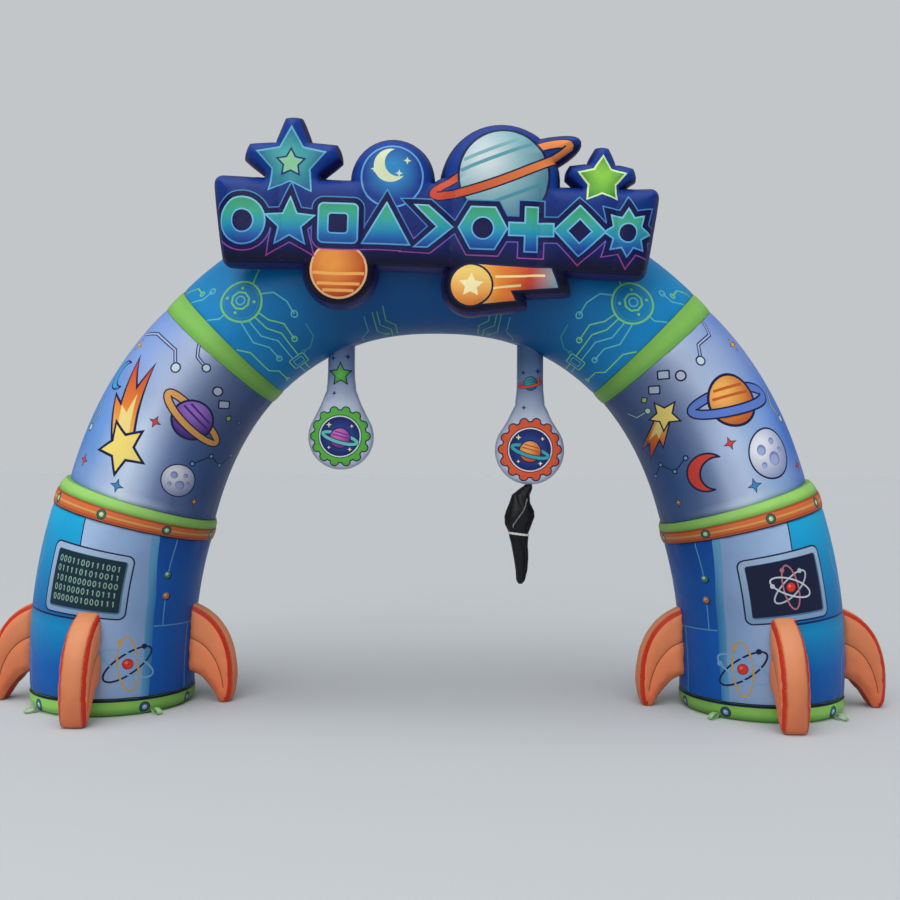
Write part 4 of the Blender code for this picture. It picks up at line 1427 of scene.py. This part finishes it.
# %% Pressing a piece against the tube
CLOTH_CLEAR, FLOOR_CLEAR = 0.0012, 0.0005
LINE_SAMPLES = np.arange(0.0, float(LENGTHS[-1]) / 2 + 0.2, 0.004)
LINE, ALONG, OUTWARD = line_at(LINE_SAMPLES)


def skin_at(length):
    """Radius and drift of the tube's cloth, for lengths along the right half of the centreline."""
    radius, drift = crown_profile(length)
    for _, low, high, r_low, r_high, *shape, _ in SECTIONS:
        start, end = length_at(low), length_at(high)
        there = (length >= start) & (length <= end)
        share = (length[there] - start) / (end - start)
        radius[there], drift[there] = section_profile(r_low, r_high, *shape)(share)
    return radius, drift


def pressed(points):
    """Moves points that lie inside the tube out to its cloth, and lifts them to the floor."""
    side = np.where(points[:, 0] < 0, -1.0, 1.0)
    there = points.copy()
    there[:, 0] *= side
    nearest = np.array([np.argmin((LINE[:, 0] - p[0]) ** 2 + (LINE[:, 2] - p[2]) ** 2) for p in there])
    radius, drift = skin_at(LINE_SAMPLES[nearest])
    along = ALONG[nearest]
    ray = there - LINE[nearest] - drift[:, None] * OUTWARD[nearest]
    ray -= along * (ray * along).sum(axis=1)[:, None]
    size, least = np.linalg.norm(ray, axis=1), radius + CLOTH_CLEAR
    there += ray * np.where(size < least, least / np.maximum(size, 1e-6) - 1, 0)[:, None]
    there[:, 0] *= side
    there[:, 2] = np.maximum(there[:, 2], FLOOR_CLEAR)
    return there


def placed(mesh, place):
    """A copy of a blown-up mesh in its place, pressed against the tube."""
    mesh = mesh.copy()
    mesh.transform(place)
    points = np.empty(len(mesh.vertices) * 3)
    mesh.vertices.foreach_get("co", points)
    mesh.vertices.foreach_set("co", pressed(points.reshape(-1, 3)).ravel())
    mesh.update()
    return mesh


def round_legs(turns):
    """For each leg and each way round it: the name's ending, and the place on the centreline's foot."""
    for side, middle in (("right", HALF_SPAN), ("left", -HALF_SPAN)):
        for way, turn in turns.items():
            turn = math.radians(turn if side == "right" else 180.0 - turn)
            yield f"{side}_{way}", Matrix.Translation((middle, 0, 0)) @ Matrix.Rotation(turn, 4, "Z")


print("tube's cloth known at", len(LINE_SAMPLES), "places")

# %% [markdown]
# ## The fins
#
# Each fin has two orange faces with a red border, a lighter gusset and a curved baffle seam that
# draws the faces in. Four stand round each leg.

# %% Fins
FIN_OUTLINE = (
    (0.550, 0.732), (0.600, 0.716), (0.668, 0.684), (0.726, 0.645), (0.778, 0.595), (0.822, 0.535),
    (0.858, 0.464), (0.884, 0.384), (0.900, 0.296), (0.906, 0.205), (0.902, 0.115), (0.890, 0.045),
    (0.872, 0.010), (0.845, 0.000), (0.815, 0.000), (0.790, 0.024), (0.752, 0.078), (0.706, 0.135),
    (0.650, 0.188), (0.590, 0.222), (0.550, 0.236),
)
FIN_BORDERED = 14  # of the outline's points, those that have the red border
FIN_SEAM = ((0.550, 0.480), (0.640, 0.452), (0.715, 0.395), (0.775, 0.310), (0.815, 0.205), (0.835, 0.110))
FIN_SIZES, FIN_AIR = (0.146, 0.020, 0.085, 0.030, 0.004), (0.011, 0.6, 0.012, 0.011)
FIN_TURNS = {"outer": 0.0, "back": 90.0, "inner": 180.0, "front": 270.0}
FIN_FACE = faded_ink((0.0, "#e07048"), (0.30, "#e48256"), (0.73, "#e68e60"))
GUSSET_FADE = ramp((0.0, "#cf704a"), (0.6, "#dd9064"))


def smooth_line(points, pieces=4):
    """A curve through some points, as more points (Catmull-Rom)."""
    points = [Vector(point) for point in points]
    ends = [2 * points[0] - points[1], *points, 2 * points[-1] - points[-2]]
    result = []
    for a, b, c, d in zip(ends, ends[1:], ends[2:], ends[3:]):
        slope, bend, twist = c - a, 2 * a - 5 * b + 4 * c - d, 3 * b - a - 3 * c + d
        for t in (piece / pieces for piece in range(pieces)):
            result.append(0.5 * (2 * b + slope * t + bend * t * t + twist * t * t * t))
    return result + [points[-1]]


def fin_strip(point):
    """The gusset is light orange outside, and red along the hollow lower edge."""
    hollow = point[1] < 0.225 and point[0] < min(0.80, 0.86 - 0.35 * point[1])
    return linear("#b5341d") if hollow else GUSSET_FADE(point[1])


fin_outline, fin_seam = smooth_line(FIN_OUTLINE)[::-1], smooth_line(FIN_SEAM)
border = grown(fin_outline, -0.020)[::-1][:len(smooth_line(FIN_OUTLINE[:FIN_BORDERED]))]
fin_art = layers(("#c2301c", *stroke(border, 0.033)), ("#a5522e", *stroke(fin_seam, 0.006)))
fin_mesh = blown_mesh("fin", [fin_outline], fin_art, fin_art, FIN_FACE, fin_strip, FIN_SIZES, FIN_AIR,
                      [fin_seam])
for ending, place in round_legs(FIN_TURNS):
    add_piece("fin_cloth_" + ending, placed(fin_mesh, place), CLOTHS["fin"], "fin_" + ending)
print("fins of", len(fin_mesh.polygons), "faces")

# %% [markdown]
# ## The sign
#
# The sign is one blown-up piece with a long board in its middle, and a moon, planets, stars and
# a comet along its edge. Its board carries a row of plain shapes, each with a bright double
# outline like a neon lamp. The back of the sign rests against the tube.

# %% Sign outline
SIGN_MIDDLE = Vector((-0.009, -0.620, 3.374))
SIGN_TILT = math.radians(1.7)
SIGN_SIZES, SIGN_AIR = (0.200, 0.056, 0.100, 0.034, 0.022), (0.016, 0.4, 0.010, 0.014)
BOARD_TOP_HALF, BOARD_LOW_HALF, BOARD_HALF_HEIGHT, BOARD_CORNER = 1.507, 1.437, 0.293, 0.045
COMET_TAIL = ((0.230, -0.230), (0.310, -0.575), (0.640, -0.530), (0.610, -0.455), (0.930, -0.430),
              (0.880, -0.230))
BAFFLES = [((x, -0.26), (x, 0.26)) for x in (-1.04, -0.47, 0.12, 0.70, 1.22)]  # walls inside the board


def blunt_star(x, y, tip, notch, blunt=8.0):
    """A star with rounded tips, which cloth can be sewn to."""
    points = []
    for turn in range(90, 450, 72):
        points += [*arc(x, y, tip, turn - blunt, turn + blunt, 4), spot(x, y, notch, turn + 36)]
    return points


SIGN_OUTLINES = [
    rounded(0, 0, (BOARD_TOP_HALF + BOARD_LOW_HALF) / 2, BOARD_HALF_HEIGHT, BOARD_CORNER,
            (BOARD_TOP_HALF - BOARD_LOW_HALF) / 2),
    blunt_star(-0.985, 0.385, 0.320, 0.185), blunt_star(1.120, 0.340, 0.225, 0.132),
    disc(-0.300, 0.300, 0.275, 40), disc(0.440, 0.310, 0.390, 48), disc(-0.640, -0.320, 0.245, 40),
    disc(0.260, -0.400, 0.185, 32), ellipse(0.440, 0.410, 0.560, 0.105, 22.0, 48), COMET_TAIL,
]
print(len(SIGN_OUTLINES), "outlines joined into the sign's")

# %% The row on the board
NEON = faded_ink((-0.19, "#3f86cc"), (0.02, "#78c4ec"), (0.17, "#8fd4e4"))
NEON_OUT = faded_ink((-0.24, "#a83c94"), (-0.13, "#6f52b4"), (-0.02, "#3f74c4"), (0.22, "#4f9ccc"))
FILL = faded_ink((-0.165, "#152f80"), (-0.10, "#1765ac"), (-0.03, "#279ab4"), (0.05, "#3fae8e"),
                 (0.165, "#3a9c68"))
ROW_MIDDLE, ROW_PITCH, ROW_HALF = -0.018, 0.324, 0.172
ROW = (  # outline in units of half the row's height, and a hole
    (disc(0, 0, 0.95, 32), disc(0, 0, 0.42, 24)),
    (star(0, -0.05, 1.08, 0.50), None),
    (rounded(0, 0, 0.80, 0.80, 0.22), rounded(0, 0, 0.36, 0.36, 0.10)),
    (polygon(0, -0.22, 1.14, 3), None),
    (((-0.85, -0.85), (-0.25, -0.85), (0.75, 0.0), (-0.25, 0.85), (-0.85, 0.85), (0.05, 0.0)), None),
    (polygon(0, 0, 0.98, 6, 0.0), disc(0, 0, 0.40, 20)),
    (((-0.28, -0.9), (0.28, -0.9), (0.28, -0.28), (0.9, -0.28), (0.9, 0.28), (0.28, 0.28),
      (0.28, 0.9), (-0.28, 0.9), (-0.28, 0.28), (-0.9, 0.28), (-0.9, -0.28), (-0.28, -0.28)), None),
    (polygon(0, 0, 1.05, 4, 0.0), polygon(0, 0, 0.44, 4, 0.0)),
    (star(0, 0, 1.0, 0.66, 8), disc(0, 0, 0.34, 20)),
)


def in_row(index, points):
    x = (index - (len(ROW) - 1) / 2) * ROW_PITCH
    return [Vector((x + p.x * ROW_HALF, ROW_MIDDLE + p.y * ROW_HALF)) for p in map(Vector, points or ())]


def row_shapes():
    """The row on the board, from the outermost line inwards, so that neighbours share their lines."""
    prints = []
    for depth, ink in ((0.043, NEON_OUT), (0.035, "#0a0f4a"), (0.0, NEON), (-0.011, FILL)):
        for index, shapes in enumerate(ROW):
            shape, hole = (in_row(index, points) for points in shapes)
            prints += inked(ink, grown(shape, depth) if depth else shape)
            if hole and depth < 0:
                prints += inked(NEON, grown(hole, 0.010)) + inked("#0e124a", hole)
    return prints


print(len(row_shapes()), "shapes in the row")

# %% The motifs round the board
def giant_planet():
    """A pale banded planet in a flat ring."""
    glow = faded_ink((-0.49, "#cf3f2a"), (0.49, "#f0924c"), axis=0)
    pale = round_ink((0.06, "#dbe7ea"), (0.24, "#8fbcc4"), (0.50, "#2f7088"), x=-0.08, y=0.10)
    bands = ((0.150, 0.215, "#7fb8bc"), (0.090, 0.262, "#5fa3b0"), (-0.190, 0.250, "#4f95a4"))
    body = [(NAVY, disc(0, -0.045, 0.318, 48)), (pale, disc(0, -0.045, 0.301, 48))]
    body += [(code, box(0, y, half, 0.012)) for y, half, code in bands]
    return ringed(body, glow, 0.490, 0.072, 56, 0.050, 0.072, 0.004)


def lobe_art():
    """The motifs along the sign's edge, from left to right above the board and then below it."""
    tail = ((0.27, -0.26), (0.345, -0.530), (0.565, -0.500), (0.530, -0.435), (0.850, -0.405),
            (0.800, -0.28))
    cuts = [box(-0.640, y, half, 0.010) for y, half in ((-0.36, 0.175), (-0.43, 0.145), (-0.475, 0.105))]
    streaks = stroke(((0.42, -0.34), (0.76, -0.33)), 0.016) + stroke(((0.40, -0.42), (0.60, -0.40)), 0.016)
    above = layers(
        ("#62b4cc", star(-0.985, 0.392, 0.252, 0.138)),
        (round_ink((0.05, "#49b0a8"), (0.24, "#135a92"), x=-0.985, y=0.42),
         star(-0.985, 0.390, 0.230, 0.125)),
        ("#1d2a70", star(-0.985, 0.388, 0.110, 0.058)), ("#8fd0a0", star(-0.985, 0.388, 0.085, 0.045)),
        ("#5fa4dc", disc(-0.300, 0.310, 0.215, 36)),
        (round_ink((0.06, "#2f8cc8"), (0.20, "#14358c"), x=-0.30, y=0.34),
         disc(-0.300, 0.310, 0.203, 36)))
    above += moved(inked("#dfe9c0", moon_shape(0.115, 0.060, 0.097)), -0.31, 0.385, 20)
    stars = [star(x, y, 0.026, 0.010, 4) for x, y in ((-0.20, 0.42), (-0.42, 0.36), (-0.25, 0.33))]
    above += inked("#dfe9c0", *stars) + moved(giant_planet(), 0.440, 0.385, 22.0)
    return above + layers(
        ("#d8f0a0", star(1.120, 0.342, 0.176, 0.100)),
        (round_ink((0.03, "#8fd048"), (0.16, "#2f8a3a"), x=1.12, y=0.37), star(1.120, 0.341, 0.155, 0.086)),
        ("#f6c08a", disc(-0.640, -0.335, 0.196, 36)),
        (round_ink((0.05, "#f49a44"), (0.26, "#b8381c"), x=-0.69, y=-0.27),
         disc(-0.640, -0.335, 0.182, 36)),
        ("#f7b25e", *cuts), (NAVY, grown(tail, 0.012)),
        (faded_ink((0.27, "#f8d060"), (0.45, "#f08a34"), (0.66, "#d2402c"), (0.85, "#7fb0b8"), axis=0), tail),
        ("#f9e6a0", *streaks), (NAVY, disc(0.262, -0.405, 0.150, 32)),
        (faded_ink((-0.55, "#ee7a2c"), (-0.27, "#fbe07a")), disc(0.262, -0.405, 0.136, 32)),
        ("#fff2b8", star(0.262, -0.405, 0.085, 0.042)))


print(len(lobe_art()), "shapes round the board")

# %% The sign
def sign_ground(point):
    """Indigo above, nearly black below, with a violet glow round the row."""
    colour = mixed(linear("#05061f"), linear("#083a92"), clamp((point[1] + 0.30) / 0.60) ** 1.3)
    glow = (0.40 if abs(point[0]) < 1.35 else 0.12) * hump(point[1], -0.02, 0.2)
    return mixed(colour, linear("#181f78"), glow)


place = Matrix.Translation(SIGN_MIDDLE) @ Matrix.Rotation(SIGN_TILT, 4, "Y")
mesh = blown_mesh("sign", SIGN_OUTLINES, lobe_art() + row_shapes(), lobe_art(), sign_ground,
                  flat_ink("#1f1d5c"), SIGN_SIZES, SIGN_AIR, BAFFLES, 0.22)
add_piece("sign_cloth", placed(mesh, place), CLOTHS["sign"], "sign")
print("sign of", len(mesh.polygons), "faces")

# %% [markdown]
# ## The two drops
#
# Two flat drops hang from the top by their necks. Each is a thin blown-up piece, silver like the
# cones, with a bright ring round a little night sky. Each neck darkens towards the top, a painted
# shade under the crown.

# %% Drops
DROPS = (  # name, x, half width of the neck, its low end, the disc's height and radius, ring, rim
    ("pendant_left", -0.714, 0.099, 2.300, 1.958, 0.240, "#5fb848", "#2f7a3c"),
    ("pendant_right", 0.682, 0.097, 2.200, 1.868, 0.253, "#e2603a", "#a5331f"),
)
DROP_PLANETS = {"#5fb848": ("#d070c0", "#6a2f8c", "#68c8c0"), "#e2603a": ("#f8b060", "#c4502a", "#3fa8b8")}
NECK_MOTIFS = {  # by the ring's ink: the motif, and its height over the neck's low end
    "#5fb848": (outlined(star(0, 0, 0.088, 0.042), round_ink((0.0, "#6fc858"), (0.08, "#2f8a40"))), 0.12),
    "#e2603a": (planet(0.049, "#3fa0a8", "#1f5f74", "#e2503c", 12.0), 0.16),
}
NECK_TOP = 2.86
SCALLOPS = 14
DROP_SIZES, DROP_AIR = (0.050, 0.040, 0.080, 0.030, 0.008), (0.010, 0.4, 0.012, 0.008)


def drop_outline(neck_half, neck_low, disc_z, disc_r):
    fall = neck_low - disc_z
    lean = math.degrees(math.atan2(fall, neck_half))
    touch = lean - math.degrees(math.acos(disc_r / math.hypot(neck_half, fall)))
    neck = [(neck_half, neck_low), (neck_half, NECK_TOP), (-neck_half, NECK_TOP), (-neck_half, neck_low)]
    return arc(0, disc_z, disc_r, -180 - touch, touch, 36) + neck


def drop_art(z, r, ring, rim, neck_low):
    """A scalloped ring round a small night sky, and a motif on the neck."""
    prints = []
    for depth, code in ((r * 0.035, NAVY), (0.0, ring)):
        middles = [spot(0, z, r * 0.80, 360 * k / SCALLOPS) for k in range(SCALLOPS)]
        lobes = [disc(*middle, r * 0.115 + depth, 12) for middle in middles]
        prints += inked(code, *lobes, disc(0, z, r * 0.80 + depth, 40))
    sky = round_ink((r * 0.1, "#2f4fa8"), (r * 0.65, "#141c54"), y=z)
    prints += layers((rim, disc(0, z, r * 0.68, 36)), ("#dfe6f4", disc(0, z, r * 0.645, 36)),
                     (sky, disc(0, z, r * 0.61, 36)))
    prints += moved(planet(r * 0.31, *DROP_PLANETS[ring], -16.0), 0.0, z - r * 0.05)
    for x, y, size in ((-0.34, 0.36, 0.085), (0.36, 0.32, 0.06), (0.30, -0.40, 0.07), (-0.34, -0.34, 0.055)):
        prints += inked("#f6e9a8", star(x * r, z + y * r, size * r, size * r * 0.4, 4))
    motif, high = NECK_MOTIFS[ring]
    prints += moved(motif, 0.0, neck_low + high)
    for x, y, size in ((-0.055, 0.24, 0.022), (0.055, 0.25, 0.026), (-0.05, -0.02, 0.020)):
        prints += inked(SLATE, star(x, neck_low + y, size, size * 0.4, 4))
    return prints


for name, x, neck_half, neck_low, disc_z, disc_r, ring, rim in DROPS:
    art = drop_art(disc_z, disc_r, ring, rim, neck_low)
    # painted shade: the neck's faces and its gusset darken towards the top, under the crown
    silver = faded_ink((1.6, "#c4cde2"), (neck_low - 0.1, "#c6cfe4"), (neck_low + 0.12, "#7c8fb4"),
                       (neck_low + 0.35, "#4c6a94"), (NECK_TOP, "#466288"))
    edge = faded_ink((1.6, "#b9c4de"), (neck_low, "#9fb0d0"), (NECK_TOP, "#4f6690"))
    mesh = blown_mesh(name, [drop_outline(neck_half, neck_low, disc_z, disc_r)], art, art, silver, edge,
                      DROP_SIZES, DROP_AIR)
    add_piece(name + "_cloth", placed(mesh, Matrix.Translation((x, 0, 0))), CLOTHS["pendant"], name)
print("drops of", len(mesh.polygons), "faces")

# %% [markdown]
# ## The tied bundle
#
# The bundle's cloth is a grid rolled into a tube, each row as wide as the table says. The tie is
# a second rolled grid, a flat band that sits a little askew.

# %% Bundle and tie
def rolled_grid(name, columns, rows, shape, open_ends=False):
    """Rolls a flat grid into a tube. Shape turns shares of the way round and along into points."""
    bm = bmesh.new()
    bmesh.ops.create_grid(bm, x_segments=columns, y_segments=rows, size=0.5)
    shares = np.array([tuple(vert.co) for vert in bm.verts]).T + 0.5
    for vert, there in zip(bm.verts, shape(shares[0], shares[1])):
        vert.co = there
    bmesh.ops.remove_doubles(bm, verts=bm.verts, dist=SAME_PLACE / 10)
    if open_ends:
        close_ends(bm)
    return finish_cloth(bm, name)


def bundle_shape(around, along):
    top, foot = BUNDLE_ROWS[0, 0], BUNDLE_ROWS[-1, 0]
    return bundle_places(top + (foot - top) * along, math.tau * around)


def rounded_turn(share, squareness):
    """The way round a flat band's cross-section, with its wide sides cut straight."""
    turn = math.tau * share
    return np.clip(squareness * np.sin(turn), -1, 1), np.clip(squareness * np.cos(turn), -1, 1)


def tie_shape(around, along):
    """A flat band: along runs round its cross-section."""
    wide, thick = rounded_turn(along, 1.5)
    high = TIE_HEIGHT + 0.008 * wide - 0.009 * np.cos(math.tau * around)
    return bundle_places(high, math.tau * around, 0.0035 + 0.0017 * thick)


mesh = rolled_grid("bundle", 72, 110, bundle_shape, open_ends=True)
add_piece("bundle_cloth", mesh, BLACK, "bundle")
add_piece("bundle_tie_tape", rolled_grid("bundle_tie", 72, 16, tie_shape), TAPE, "bundle_tie")
print("bundle of", len(mesh.polygons), "faces")

# %% [markdown]
# ## Tie-down loops
#
# Four loops of pale webbing are sewn under the base band of each leg, for pegs or sandbags. Each
# is a flat strap, bent into a long eye. It is a grid too, rolled round the strap's cross-section.

# %% Loops
LOOP_LONG, LOOP_HIGH, LOOP_WIDTH, LOOP_THICK = 0.046, 0.021, 0.038, 0.003
LOOP_OUT, LOOP_DROOP = 0.583, math.radians(-9)  # metres from the leg's middle, and its tip down
LOOP_TURNS = {"outer_front": 315.0, "outer_back": 45.0, "inner_back": 135.0, "inner_front": 225.0}


def loop_shape(around, along):
    """Around runs along the strap, and along runs round the strap's flat cross-section."""
    turn = math.tau * around
    wide, thick = rounded_turn(along, 1.3)
    thick = LOOP_THICK / 2 * (thick - 1)
    u, w = (LOOP_LONG + thick) * np.cos(turn), (LOOP_HIGH + thick) * np.sin(turn)
    down, along_it = math.sin(LOOP_DROOP), math.cos(LOOP_DROOP)
    u, w = u * along_it - w * down, u * down + w * along_it
    return np.stack([u - u.min(), LOOP_WIDTH / 2 * wide, w - w.min()], axis=-1)


for ending, place in round_legs(LOOP_TURNS):
    mesh = rolled_grid("tie_loop_" + ending, 48, 16, loop_shape)
    mesh.transform(place @ Matrix.Translation((LOOP_OUT, 0, GAP)))
    add_piece("tie_loop_webbing_" + ending, mesh, WEBBING, "tie_loop_" + ending)
print("loops sewn on")
